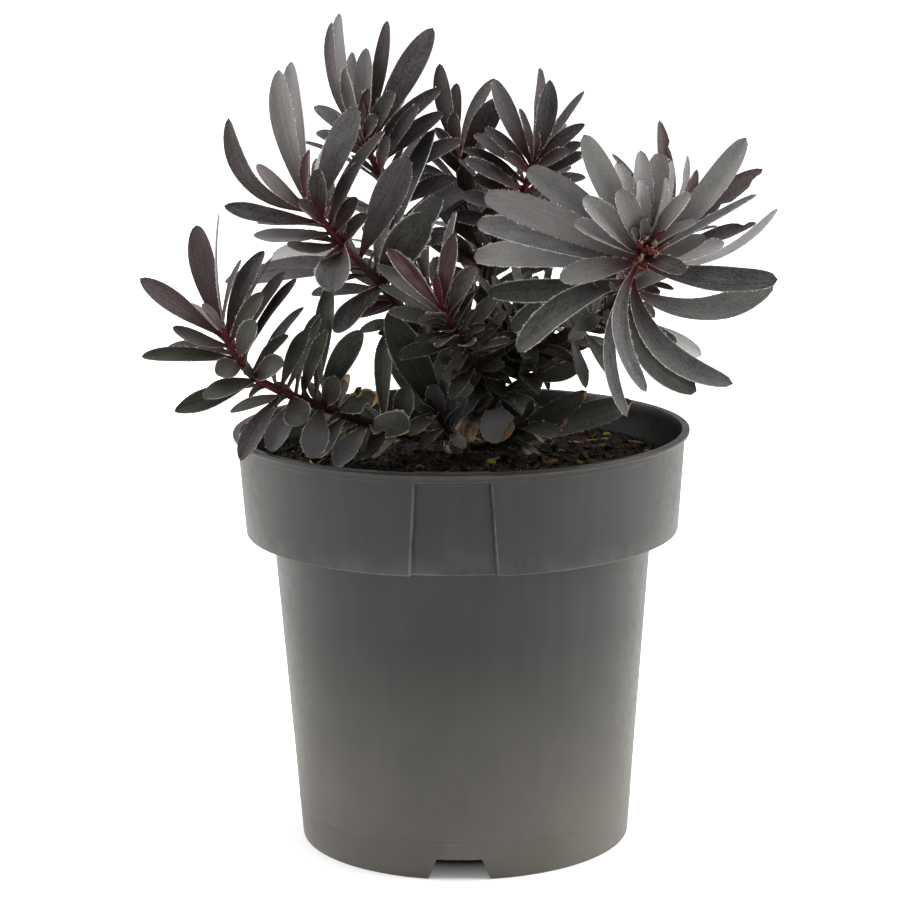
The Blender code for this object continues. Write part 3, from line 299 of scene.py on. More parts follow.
# Shoots: the middle of each stem from its bare foot, and its leaves, as the CAD part has them:
# place along the stem, clock angle from the front, lean to the viewer, length, width, facing and curl
shoots = {
    "shoot_right_rosette": {
        "path": [(43, -12, 224), (57, -26, 233), (69, -42, 247), (75, -54, 260), (79, -62, 269)],
        "bare": 8, "radius": (2.4, 1.5), "spiral": 10, "spiralLength": 40, "half": "back",
        "leaves": [
            (.93, -25, 0, 56, 11, 1, 0), (.95, -16, -10, 40, 9, .8, 0), (.97, -21, 18, 31, 10, .9, 0),
            (.95, -1, -5, 43, 9, .95, 0), (.93, 11, -12, 44, 11, 1, 0), (.9, 19, -25, 46, 8, .5, 0),
            (.95, 16, 5, 34, 9, .3, 0), (.97, 36, 15, 33, 8, .75, 0), (.93, 41, 0, 65, 11, .95, .07),
            (.96, 57, 15, 27, 7, .4, 0), (.9, 62, -10, 56, 8, .45, .05), (.85, 70, -15, 65, 8, .4, .19),
            (.88, 96, 10, 58, 12, .9, .08), (.65, 90, -5, 62, 12, .9, .2), (.93, 101, 50, 28, 8, .9, 0),
            (.75, 135, 25, 64, 11, .95, .2), (.6, 136, -20, 35, 10, .9, .2), (.85, 176, 30, 56, 10, .8, .2),
            (.7, -179, 15, 57, 8, .7, .18), (.7, -120, 20, 57, 12, .95, .08),
            (.65, -94, -10, 58, 11, .9, -.04), (.8, -87, -15, 70, 12, .95, .03),
            (.88, -98, 30, 38, 11, .9, 0), (.85, -76, -10, 70, 12, .95, 0),
            (.9, -67, 0, 70, 13, 1, .02), (.88, -51, -12, 61, 12, 1, .04), (.95, -62, 22, 35, 9, .9, 0),
            (.95, -44, 15, 38, 10, .95, 0), (.99, -4, 20, 16, 5, .8, 0), (.99, -28, 25, 14, 5, .8, 0),
            (.66, 147, 0, 54, 13, .9, .2), (.62, -112, -15, 54, 11, .9, .05),
        ]},
    "shoot_upper_left": {
        "path": [(-20, 2, 227), (-27, -6, 239), (-34, -14, 249), (-42, -20, 259), (-51, -26, 270),
                 (-57, -29, 278), (-63, -31, 284)],
        "bare": 11, "radius": (2.3, 1.4), "spiral": 8, "spiralLength": 34, "half": "back",
        "leaves": [
            (.98, -13, -15, 61, 11, .95, -.02), (.97, -9, -24, 67, 12, .8, .02),
            (.95, -41, 0, 53, 9, .85, -.18), (.93, -47, 12, 33, 8, .7, -.09),
            (.85, -80, 0, 43, 9, .85, -.06), (.76, -90, 10, 34, 8, .8, -.06),
            (.68, -86, 25, 27, 7, .7, -.13), (.83, -45, 30, 18, 8, .8, 0), (.86, -1, 25, 26, 9, .9, 0),
            (1, 2, -5, 23, 6, .7, 0), (.93, 22, -15, 49, 12, 1, -.02), (.96, 15, -22, 37, 7, .6, 0),
            (.86, 35, -20, 48, 9, .7, 0), (.8, 27, 10, 32, 9, .75, 0), (.75, 34, 32, 22, 8, .8, 0),
            (.66, 41, 32, 21, 9, .8, 0), (.5, 26, -8, 49, 14, 1, 0), (.35, 23, -20, 70, 12, .75, .03),
            (.66, -172, 45, 26, 16, .9, 0), (.25, 33, 20, 41, 16, 1, -.04), (.42, -97, -15, 66, 10, .9, 0),
            (.45, -91, -30, 53, 10, .9, .03), (.26, -134, 10, 29, 11, .9, 0), (.08, -108, 5, 24, 9, .8, 0),
            (.33, 12, -26, 62, 8, .7, 0), (.22, 32, -14, 47, 12, .9, 0),
        ]},
    "shoot_low_left": {
        "path": [(-2, 8, 178), (-20, -8, 181), (-38, -22, 189), (-57, -32, 198), (-76, -40, 207),
                 (-88, -43, 215), (-95, -44, 226), (-99, -44, 234)],
        "bare": 26, "radius": (2.4, 1.4), "spiral": 6, "spiralLength": 26, "half": "back",
        "leaves": [
            (.97, -17, -25, 51, 11, 1, -.03), (.96, -3, -15, 53, 4, .2, 0), (1, 17, 0, 31, 5, .4, 0),
            (.95, 23, -15, 41, 9, .85, -.03), (.92, 25, -25, 43, 6, .4, 0), (.9, 34, -10, 40, 8, .7, .02),
            (.93, 34, 20, 30, 8, .85, 0), (.84, 34, -5, 43, 7, .6, 0), (.76, 36, -20, 37, 8, .7, 0),
            (.95, -53, 5, 45, 10, .85, -.03), (.9, -52, -30, 34, 8, .7, 0), (.97, -31, 20, 18, 5, .6, 0),
            (.92, -69, 10, 26, 8, .7, -.1), (.88, -87, -22, 33, 8, .7, 0), (.86, -87, 8, 41, 9, .75, -.02),
            (.87, 30, 42, 28, 10, .9, 0), (.83, -100, 45, 15, 10, .9, 0), (.78, 44, 12, 25, 7, .75, 0),
            (.76, 58, 45, 24, 11, .9, 0), (.75, -109, 20, 38, 10, .9, -.04), (.74, -102, 36, 28, 9, .8, 0),
            (.64, 26, 15, 32, 8, .85, 0), (.62, 26, -12, 36, 7, .7, .06), (.57, 16, -8, 38, 8, .7, 0),
            (.54, 14, 2, 44, 8, .8, 0), (.48, 7, -12, 53, 10, .85, .03), (.45, 29, 5, 38, 11, .95, -.02),
            (.59, 150, 45, 17, 13, .95, 0), (.65, -105, 10, 13, 5, .6, .2), (.62, -146, 22, 35, 10, .9, .02),
            (.55, -150, 28, 27, 11, .9, 0), (.45, -170, 34, 25, 12, 1, 0), (.33, -143, 15, 23, 9, .9, 0),
            (.22, -140, 32, 26, 10, .9, 0), (.1, -126, 25, 20, 9, .9, 0), (.38, 66, 36, 26, 11, .9, 0),
            (.43, 25, 40, 22, 10, .9, 0), (.22, 93, 42, 24, 15, .9, 0), (.14, 1, -12, 41, 9, .9, 0),
            (.38, 20, -5, 17, 7, .8, 0), (.06, 12, 22, 24, 10, .9, 0),
        ]},
    "shoot_top": {
        "path": [(-20, 2, 227), (-23, 4, 243), (-26, 6, 262), (-31, 8, 282), (-36, 9, 296), (-42, 10, 308)],
        "bare": 13, "radius": (2.2, 1.4), "spiral": 9, "spiralLength": 36, "half": "back",
        "leaves": [
            (.97, -15, -10, 55, 8, .6, -.05), (.97, -12, -22, 61, 9, .75, -.03), (.98, 2, -8, 41, 9, .95, 0),
            (.95, -13, 15, 37, 7, .7, 0), (.97, 10, -22, 57, 9, .7, .06), (.95, 30, -15, 60, 12, 1, 0),
            (1, 9, -3, 23, 6, .8, 0), (1, 3, 10, 17, 6, .8, 0), (.93, 35, -28, 46, 7, .4, .03),
            (.96, 29, 16, 29, 8, .85, 0), (.9, 48, 0, 42, 9, .8, 0), (.82, 52, 4, 38, 9, .85, 0),
            (.95, -34, 0, 23, 6, .6, 0), (.9, -51, -20, 34, 9, .8, 0), (.86, -66, -26, 31, 8, .8, 0),
            (.99, 31, 30, 17, 7, .8, 0), (.78, 32, 20, 38, 8, .8, 0), (.76, 16, 32, 22, 7, .8, 0),
            (.7, 61, 8, 40, 10, .8, 0), (.55, 66, 4, 32, 10, .8, 0), (.42, 62, -10, 34, 11, .85, 0),
            (.3, 75, 6, 26, 9, .8, 0), (.95, -10, -14, 45, 10, .7, 0),
        ]},
    "shoot_upper_right": {
        "path": [(11, 17, 232), (16, 14, 259), (23, 13, 274), (28, 12, 285), (32, 12, 298)],
        "bare": 12, "radius": (2.1, 1.3), "spiral": 8, "spiralLength": 28, "half": "back",
        "leaves": [
            (.97, 5, -15, 43, 8, .7, -.02), (.98, 12, 8, 38, 9, .95, .03), (.95, 36, -20, 42, 7, .5, .04),
            (.93, 50, 0, 31, 8, .8, 0), (.94, 40, -36, 29, 8, .8, 0), (.92, 60, 25, 22, 7, .8, 0),
            (.87, 58, -10, 28, 8, .75, 0), (.8, 62, 0, 30, 8, .8, 0), (.75, 78, -16, 29, 8, .8, 0),
            (.97, -24, -10, 41, 9, .9, -.04), (.99, -13, 4, 25, 6, .6, 0), (1, -4, 8, 18, 5, .6, 0),
            (.93, -46, 10, 28, 7, .8, 0), (.9, -55, -5, 30, 8, .8, 0), (.82, -61, 2, 32, 8, .8, 0),
            (.75, -58, 12, 33, 8, .8, 0), (.9, -48, 28, 18, 6, .8, 0), (.68, -61, 22, 25, 7, .8, 0),
            (.58, -70, 15, 26, 8, .8, 0), (.45, -76, 10, 26, 8, .8, 0), (.6, 80, 8, 24, 8, .8, 0),
        ]},
    "shoot_front_centre": {
        "path": [(5, 11, 187), (8, 2, 200), (6, -14, 215), (4, -18, 221), (0, -24, 228), (-4, -30, 236),
                 (-6, -33, 241)],
        "bare": 24, "radius": (2.0, 1.2), "spiral": 12, "spiralLength": 24, "half": "right",
        "leaves": [
            (.88, -41, 0, 39, 9, .75, -.04), (.98, 8, -6, 42, 7, .5, 0), (.99, 9, 6, 33, 8, .9, 0),
            (.9, 30, 20, 27, 9, .85, 0), (1, -9, 5, 15, 5, .8, 0), (.9, -11, -26, 27, 9, 1, 0),
            (.8, -53, -10, 41, 8, .8, 0), (.74, -62, -20, 38, 7, .8, 0), (.72, -73, 5, 30, 8, .8, 0),
            (.64, -96, 16, 20, 5, .8, 0), (.52, -101, 10, 30, 8, .8, 0), (.4, -140, 20, 17, 7, .8, 0),
            (.62, 67, 20, 13, 5, .8, 0), (.45, 88, 20, 14, 5, .8, 0), (.04, -150, 14, 22, 10, .9, .1),
            (.2, -160, 35, 16, 7, .9, 0), (.55, 38, -12, 24, 8, .8, 0), (.3, 62, 0, 22, 8, .8, 0),
        ]},
    "shoot_behind_top": {
        "path": [(11, 17, 231), (9, 24, 249), (4, 33, 277), (-2, 38, 300)],
        "bare": 14, "radius": (2.1, 1.3), "spiral": 11, "spiralLength": 30, "half": "all",
        "leaves": [
            (.97, -11, -4, 41, 9, .85, 0), (1, 0, 0, 30, 7, .9, 0), (.98, -3, 12, 20, 7, .9, 0),
            (.95, 25, -15, 39, 9, .6, 0), (.9, 31, 2, 34, 11, 1, 0), (.6, -58, 14, 32, 11, .9, 0),
            (.45, -48, 18, 34, 12, .9, 0), (.25, -38, 20, 34, 12, .9, 0), (.1, -58, 15, 32, 12, .9, 0),
            (.4, 50, 12, 30, 11, .9, 0), (.2, 40, 5, 30, 11, .9, 0),
        ]},
    "shoot_right_behind": {
        "path": [(42, -11, 223), (61, 4, 234), (78, 15, 247), (91, 20, 262)],
        "bare": 14, "radius": (2.2, 1.3), "spiral": 11, "spiralLength": 34, "half": "back",
        "leaves": [
            (.97, -3, -10, 54, 8, .85, 0), (.96, 1, -24, 46, 7, .8, 0), (.95, 15, -12, 41, 6, .5, 0),
            (.9, 24, 0, 39, 7, .8, 0), (.9, 52, -5, 57, 11, .9, 0), (.85, 72, 0, 46, 9, .75, .04),
            (.93, -29, -18, 48, 8, .6, 0),
        ]},
    "shoot_inner_right": {
        "path": [(7, 14, 203), (17, 6, 213), (24, 0, 226), (28, -4, 238)],
        "bare": 11, "radius": (1.9, 1.2), "spiral": 12, "spiralLength": 25, "half": "all",
        "leaves": [
            (.12, 84, 0, 24, 10, .9, .18), (.16, 100, 14, 13, 5, .8, 0), (.3, 100, 20, 26, 9, .9, .1),
            (.2, -60, 0, 22, 8, .8, 0),
        ]},
    "shoot_low_right": {
        "path": [(0, 8, 173), (6, 2, 174), (13, -3, 177), (22, -7, 183), (30, -9, 190)],
        "bare": 7, "radius": (2.2, 1.2), "spiral": 3, "spiralLength": 20, "half": "right",
        "leaves": [
            (.08, 67, 9, 44, 15, .9, 0), (.16, 77, -14, 70, 15, .85, -.04), (.4, 61, -14, 46, 11, .8, 0),
            (.75, 96, 10, 22, 9, .8, 0), (.55, 126, -4, 15, 7, .8, 0), (.98, 150, 5, 14, 4, .5, .15),
        ]},
    "shoot_low_twig": {
        "path": [(6, 10, 187), (12, 3, 191), (18, -2, 198), (26, -6, 204), (33, -8, 208)],
        "bare": 9, "radius": (1.8, 1.1), "spiral": 4, "spiralLength": 18, "half": "right",
        "leaves": [
            (.03, 151, 48, 21, 15, 1, 0), (.36, 66, -10, 14, 5, .8, 0), (.4, 118, 16, 18, 7, .85, 0),
            (.3, 128, 10, 17, 6, .5, 0), (.86, 74, 8, 26, 9, .9, .1), (.7, 20, 10, 20, 8, .8, 0),
            (.95, 62, -10, 22, 8, .8, 0), (.2, -10, 24, 14, 7, .9, 0),
        ]},
    "shoot_low_front": {
        "path": [(0, 9, 176), (-4, 0, 180), (-8, -9, 187), (-12, -14, 195)],
        "bare": 9, "radius": (2.0, 1.2), "spiral": 3, "spiralLength": 18, "half": "front",
        "leaves": [
            (.14, -25, 4, 64, 15, 1, 0), (.4, -35, -2, 42, 13, 1, 0), (.3, -5, -6, 42, 14, .95, 0),
            (.25, 36, 5, 24, 9, .9, 0), (.6, -8, 25, 20, 9, .9, 0), (.2, -8, 38, 16, 6, .8, 0),
            (.8, -120, 30, 18, 8, .9, 0), (.8, 12, -6, 30, 10, .9, 0),
        ]},
    "shoot_back_left": {
        "path": [(4, 34, 209), (-8, 50, 224), (-20, 62, 240), (-30, 70, 258)],
        "bare": 10, "radius": (2.2, 1.3), "spiral": 15, "spiralLength": 36, "half": "all",
        "leaves": []},
    "shoot_back": {
        "path": [(6, 46, 220), (8, 58, 234), (10, 70, 248), (12, 80, 264)],
        "bare": 8, "radius": (2.2, 1.3), "spiral": 13, "spiralLength": 34, "half": "all",
        "leaves": []},
    "shoot_back_right": {
        "path": [(6, 42, 216), (22, 54, 220), (40, 62, 228), (56, 66, 240)],
        "bare": 10, "radius": (2.2, 1.3), "spiral": 15, "spiralLength": 32, "half": "all",
        "leaves": []},
}


# Pot

pot = {
    "rimRadius": 100.0, "rimHeight": 182.8, "lipHeight": 2.4, "lipWidth": 3.4,
    "bandTop": 97.8, "bandBottom": 95.0, "bandFoot": 138.4, "bodyTop": 83.2, "base": 72.7,
    "wall": 1.6, "plateHeight": 9.0, "plateThickness": 1.8, "centreFoot": 16.0, "footDraft": 2.0,
    "panelTop": 177.3, "panelSlope": 1.0, "panelDepth": 3.0, "panelHalfTop": 9.4, "panelHalfFoot": 11.2,
    "panelSide": 0.5, "tab": 0.5, "notchHeight": 8.8, "notchHalfFoot": 10.64, "notchHalfTop": 7.68,
    "witness": 16.5, "witnessRise": 0.16, "fillet": 0.55, "columns": (13.5, 167, 2.25), "panelSpans": 8,
    "highlightBesidePanel": 1.04, "innerFrom": 0.62, "innerTo": 0.68, "sharpAngle": 28, "middle": 0.4,
    "drainCircle": 50.0, "drainRadius": 4.0, "drainCount": 6, "drillHeights": (-3, 2, 5),
    # edge: pale rubbed plastic, partly painted highlight; inside: soil stain with painted shade; foot:
    # painted bounce light
    "colour": (.028, .0277, .0277), "dark": (.041, .039, .038), "edge": (.26, .255, .25),
    "dirt": (.075, .058, .042), "inside": (.008, .0075, .007), "foot": (.135, .125, .11),
}


def bodyRadius(height):
    # even slope from the base to the body's top
    return pot["base"] + (pot["bodyTop"] - pot["base"]) * height / pot["bandFoot"]


def bandRadius(height):
    # even slope from the band's foot to the panel's top
    rise = (height - pot["bandFoot"]) / (pot["panelTop"] - pot["bandFoot"])
    return pot["bandBottom"] + (pot["bandTop"] - pot["bandBottom"]) * rise


def potProfile():
    # rows of radius, height, panel share, notch share, tab share and pale rubbed edge with painted highlight,
    # from foot to lip and back
    wall, floor, witness, rim = pot["wall"], pot["plateHeight"], pot["witness"], pot["rimRadius"]
    plate, ledge = floor + pot["plateThickness"], pot["bandFoot"] + wall
    slopeTop, lipFoot = pot["panelTop"] + pot["panelSlope"], pot["rimHeight"] - pot["lipHeight"]
    raised = bodyRadius(witness) + pot["witnessRise"]
    return np.array([
        (pot["middle"], 0, 0, 0, 0, 0),
        (pot["centreFoot"], 0, 0, 0, 0, .6),
        (pot["centreFoot"] + pot["footDraft"], floor, 0, 0, 0, 0),
        (bodyRadius(floor) - wall, floor, 0, 0, 0, 0),
        (pot["base"] - wall, 0, 0, 1, 0, .8),
        (pot["base"], 0, 0, 1, 0, 1),
        (bodyRadius(witness - .5), witness - .5, 0, 0, 0, 0),
        (raised, witness - .1, 0, 0, 0, .5),
        (raised, witness + .2, 0, 0, 0, .5),
        (bodyRadius(witness + .6), witness + .6, 0, 0, 0, 0),
        (bodyRadius(60), 60, 0, 0, 0, 0),
        (bodyRadius(100), 100, 0, 0, 0, 0),
        (pot["bodyTop"], pot["bandFoot"], 0, 0, 0, .1),
        (pot["bandBottom"], pot["bandFoot"], 1, 0, 0, .8),
        (bandRadius(160), 160, 1, 0, 0, 0),
        (bandRadius(pot["panelTop"]), pot["panelTop"], 1, 0, 0, .1),
        (bandRadius(slopeTop), slopeTop, 0, 0, 0, .3),
        (bandRadius(lipFoot), lipFoot, 0, 0, 0, .1),
        (rim - .5, lipFoot + .1, 0, 0, 0, .4),
        (rim, lipFoot + .9, 0, 0, .3, .5),
        (rim, pot["rimHeight"], 0, 0, 1, 1),
        (rim - pot["lipWidth"], pot["rimHeight"], 0, 0, 1, .9),
        (bandRadius(slopeTop) - wall, slopeTop, 0, 0, 0, .1),
        (bandRadius(pot["panelTop"]) - wall, pot["panelTop"] - pot["panelSlope"], 1, 0, 0, 0),
        (pot["bandBottom"] - wall, ledge, 1, 0, 0, 0),
        (pot["bodyTop"] - wall, ledge, 0, 0, 0, 0),
        (bodyRadius(plate) - wall, plate, 0, 0, 0, 0),
        (pot["centreFoot"], plate, 0, 0, 0, 0),
        (pot["centreFoot"] - pot["footDraft"], pot["plateThickness"], 0, 0, 0, 0),
        (pot["middle"], pot["plateThickness"], 0, 0, 0, 0),
    ], float)


def roundCorners(rows, reach):
    # each inner row becomes three on the quadratic curve from reach before the corner to reach after it
    before, here, after = rows[:-2], rows[1:-1], rows[2:]
    stepIn, stepOut = here - before, after - here
    lengthIn, lengthOut = (np.linalg.norm(step[:, :2], axis=1)[:, None] for step in (stepIn, stepOut))
    start = here - stepIn * np.minimum(reach / lengthIn, 0.4)
    end = here + stepOut * np.minimum(reach / lengthOut, 0.4)
    start[:, 5] *= 0.3
    end[:, 5] *= 0.3
    middle = 0.25 * start + 0.5 * here + 0.25 * end
    middle[:, 5] = here[:, 5]
    inner = np.stack([start, middle, end], axis=1).reshape(-1, rows.shape[1])
    return np.concatenate([rows[:1], inner, rows[-1:]])


def potColumns():
    # rows of panel centre in degrees, place on the panel (-1 to 1, or 0 off it), inset, azimuth off the panel
    # the columns just beside each panel bound a strip of painted highlight along its edges
    highlightReach = pot["highlightBesidePanel"]
    columns = []
    for centre in (90, 270):
        columns += [(centre, -highlightReach, 0, 0), (centre, -1, 0, 0)]
        columns += [(centre, share, 1, 0) for share in np.linspace(-1, 1, pot["panelSpans"] + 1)]
        columns += [(centre, 1, 0, 0), (centre, highlightReach, 0, 0)]
        columns += [(centre, 0, 0, offset) for offset in np.arange(*pot["columns"])]
    return np.array(columns, float).T


def turnedPot(rows):
    # azimuth from the column, a panel column's by the panel's half angle at that height;
    # radius less the panel's depth, and the pale rubbed edge share, partly painted highlight, also on a strip
    # beside the panel
    centre, share, inset, offset = potColumns()
    radius, height, panel, notch, tab, wearAndHighlight = rows.T[:, :, None]
    rise = np.clip((height - pot["bandFoot"]) / (pot["panelTop"] - pot["bandFoot"]), 0, 1)
    drop = np.clip(1 - height / pot["bandFoot"], 0, 1)
    half = (pot["panelHalfFoot"] + (pot["panelHalfTop"] - pot["panelHalfFoot"]) * rise
            + (pot["notchHalfFoot"] - pot["panelHalfFoot"]) * drop)
    side = pot["panelSide"] + (pot["notchHalfFoot"] - pot["notchHalfTop"] - pot["panelSide"]) * drop
    azimuth = np.radians(centre + share * (half - inset * side) + offset)
    radius = radius - pot["panelDepth"] * panel * inset
    height = height + pot["notchHeight"] * notch * inset + pot["tab"] * tab * inset
    verts = np.stack([radius * np.cos(azimuth), radius * np.sin(azimuth), height + 0 * azimuth], axis=-1)
    return verts, np.maximum(wearAndHighlight, .7 * panel * (np.abs(share) == 1) * (1 - inset))


def makePot(material):
    rows = roundCorners(potProfile(), pot["fillet"])
    verts, wearAndHighlight = turnedPot(rows)
    steps, count = wearAndHighlight.shape
    flat = np.concatenate([verts.reshape(-1, 3), [(0, 0, 0), (0, 0, pot["plateThickness"])]])
    inside = smoothStep(steps * pot["innerFrom"], steps * pot["innerTo"], np.arange(steps))
    inside = np.concatenate([np.repeat(inside, count), [0, 1]])
    wearAndHighlight = np.concatenate([wearAndHighlight.ravel(), [0, 0]])
    shape = Shape()
    shape.add(flat, *ringFaces(steps, count, len(flat) - 2, len(flat) - 1),
              potWear=np.stack([wearAndHighlight, inside, 0 * wearAndHighlight, 0 * wearAndHighlight + 1], axis=1))
    shell = shape.build("nursery_pot", material)
    drill = Shape()
    for angle in (np.arange(pot["drainCount"]) + 0.5) * math.tau / pot["drainCount"]:
        heights = pot["plateHeight"] + np.array(pot["drillHeights"])
        line = np.concatenate([np.tile(around(angle) * pot["drainCircle"], (3, 1)), heights[:, None]], axis=1)
        drill.add(*sweptTube(line, [pot["drainRadius"]] * 3, 24))
    cutter = drill.build("drain_drill")
    hole = shell.modifiers.new("drain holes", "BOOLEAN")
    hole.operation = "DIFFERENCE"
    hole.object = cutter
    bpy.context.view_layer.update()
    drilled = shell.evaluated_get(bpy.context.evaluated_depsgraph_get())
    shell.data = bpy.data.meshes.new_from_object(drilled)
    shell.modifiers.clear()
    bpy.data.objects.remove(cutter)
    shell.data.name = "nursery_pot"
    shell.data.shade_smooth()
    shell.data.set_sharp_from_angle(angle=math.radians(pot["sharpAngle"]))
    return shell


def potPlastic():
    # grey with cloudy stains, faint vertical flow lines, specks of dried soil, pale rubbed edges that are
    # partly painted highlight, painted bounce light that lightens the foot, a dark inside of soil stain and
    # painted shade, and a moulded grain
    paint = newFinish("potPlastic", .38, .4)
    spot = paint.spot()
    soiling = paint.node("Group", {"Vector": spot, "Scale": 22.0}, node_tree=weathering).outputs
    flow = paint.noise(paint.stretch(spot, 1, 1, .06), 150.0, 3.0, 0.6)
    wearAndHighlight, inside, _ = paint.channels(paint.attribute("potWear")["Color"])
    # pale rubbed edges, partly painted highlight on the rim and beside the panels, broken up by noise
    patchy = paint.times(wearAndHighlight, paint.remap(paint.noise(spot, 90.0, 4.0), 0.3, 0.7, 0.35, 1.0))
    specks = paint.remap(paint.noise(spot, 420.0, 4.0, .7), .7, .76, 0, .4)
    # painted bounce light: lighter towards the foot, from about 0.1 m down
    paintedFootLight = paint.times(paint.remap(paint.axes(spot)["Z"], .105, -.01, 0, 1.1),
                        paint.remap(soiling["Stain"], 0, 1, .7, 1))
    # dark inside: soil stain with painted shade over the inner wall
    insideStainAndShade = paint.times(inside, paint.remap(paint.noise(spot, 60.0, 4.0), .3, .7, .85, 1))
    colour = paint.mix(paint.remap(soiling["Stain"], 0, 1, 0, 0.35), pot["colour"], pot["dark"])
    for share, other in ((paint.remap(flow, .4, .75, 0, .03), "edge"), (specks, "dirt"),
                         (paint.remap(patchy, 0.1, 1.0, 0, 0.95), "edge"), (paintedFootLight, "foot"),
                         (insideStainAndShade, "inside")):
        colour = paint.mix(share, colour, pot[other])
    grain = paint.times(paint.noise(spot, 2600.0, 2.0, 0.5), .35)
    paint.coat({"Base Color": colour, "Roughness": paint.remap(soiling["Dust"], 0, 1, .33, .42),
                "Normal": paint.bump(paint.plus(grain, paint.times(flow, .06)), 0.00012, 0.55)})
    return paint.material


print("pot")
place(makePot(potPlastic()), "pot_plastic", "pot")


# Potting mix

mix = {
    "height": 169.0, "edge": 166.5, "wallGap": 0.35, "plateGap": 0.4, "seed": 41,
    "slope": (84, 94.5), "clods": (9, 34), "clodRise": 1.0, "grain": (2.6, 7), "grainRise": 0.5,
    "mound": (-2, 8, 9.0, 1.6), "trunkClear": 5.5, "panelHalf": (10.4, 11.6), "around": 240, "rings": 70,
    "chips": (1500, (1.8, 9.5), (.3, .75), .42, .15), "crumbs": (4200, (.9, 3.0), (.5, 1.0), .7, .25),
    "litterReach": 90.5, "litterEdge": 93.2, "thickness": (.4, 2.4), "tanShare": .02, "mossShare": .008,
    "straws": 28, "strawLength": (4, 12), "strawReach": 82, "strawForm": (.7, 1, 1.1, 1, 1.05, .95, .6),
    "tufts": 70, "strands": 9, "tuftReach": 88, "strandLength": (.8, 2.2), "strandWidth": .6,
    "sharpAngle": 30, "black": (.0055, .0044, .0033), "brown": (.03, .0175, .0098),
    "tan": (0.3, 0.19, 0.09), "moss": (0.2, 0.28, 0.03),
}


def lumps(points, seed, sizes, rise):
    # sum of plane waves in random directions, with lengths between the two sizes, scaled to about +-rise
    rng = np.random.default_rng(seed)
    turns, phases = rng.uniform(0, math.tau, (2, 48))
    lengths = np.exp(rng.uniform(math.log(sizes[0]), math.log(sizes[1]), 48))
    waves = around(turns).T * math.tau / lengths
    return rise * np.sin(points @ waves + phases).mean(axis=-1) * 4


def groundHeight(points):
    # edge to middle rise, clods and small grain, and a mound round the trunk
    x, y, reach, rise = mix["mound"]
    apart = np.linalg.norm(points - (x, y), axis=-1)
    outward = smoothStep(*mix["slope"], np.linalg.norm(points, axis=-1))
    height = mix["height"] + (mix["edge"] - mix["height"]) * outward
    height = height + lumps(points, 7, mix["clods"], mix["clodRise"])
    height = height + lumps(points, 8, mix["grain"], mix["grainRise"])
    return height + rise * np.exp(-(apart / reach) ** 2)


def onGround(flat, lift=0):
    # the flat points with the ground's height, and what lifts them off it
    return np.concatenate([flat, (groundHeight(flat) + lift)[:, None]], axis=1)


def makeGround(material):
    # plain rings up the pot's inner wall, stepped in at its panels, then closer rings over the top
    gap = pot["wall"] + mix["wallGap"]
    azimuth = np.linspace(0, math.tau, mix["around"], endpoint=False)
    plate = pot["plateHeight"] + pot["plateThickness"] + mix["plateGap"]
    ledge, edgeRadius = pot["bandFoot"] + gap, bandRadius(mix["edge"]) - gap
    off = np.abs((np.degrees(azimuth) % 180) - 90)
    inset = pot["panelDepth"] * (1 - smoothStep(*mix["panelHalf"], off))
    lower = [(2.0, plate, 0), (bodyRadius(plate) - gap, plate, 0), (pot["bodyTop"] - gap, ledge, 0),
             (pot["bandBottom"] - gap, ledge, 1), (edgeRadius - .2, mix["edge"] - 4, 1)]
    rings = []
    for radius, height, share in lower:
        flat = (radius - inset * share)[:, None] * around(azimuth)
        rings.append(np.concatenate([flat, np.full((len(flat), 1), height)], axis=1))
    for share in (1, .99, *np.linspace(.97, .02, mix["rings"])):
        rings.append(onGround(((edgeRadius - inset) * share)[:, None] * around(azimuth)))
    count = len(rings) * len(azimuth)
    centres = [np.array([[0, 0, plate]]), onGround(np.zeros((1, 2)))]
    shape = Shape()
    shape.add(np.concatenate(rings + centres), *ringFaces(len(rings), len(azimuth), count, count + 1))
    return shape.build("potting_mix_body", material)


def scatter(count, rng, reach):
    # random spots even over the soil's disc, clear of the trunk
    radius = reach * np.sqrt(rng.uniform(0.002, 1, count))
    spots = radius[:, None] * around(rng.uniform(0, math.tau, count))
    spots[np.linalg.norm(spots - mix["mound"][:2], axis=1) < mix["trunkClear"]] *= -3
    return spots


def turnings(yaw, pitch, roll):
    # rotation matrices: roll about X, then pitch about Y, then yaw about Z
    cy, cp, cr = np.cos((yaw, pitch, roll))
    sy, sp, sr = np.sin((yaw, pitch, roll))
    return np.stack([np.stack([cy * cp, cy * sp * sr - sy * cr, cy * sp * cr + sy * sr], -1),
                     np.stack([sy * cp, sy * sp * sr + cy * cr, sy * sp * cr - cy * sr], -1),
                     np.stack([-sp, cp * sr, cp * cr], -1)], -2)


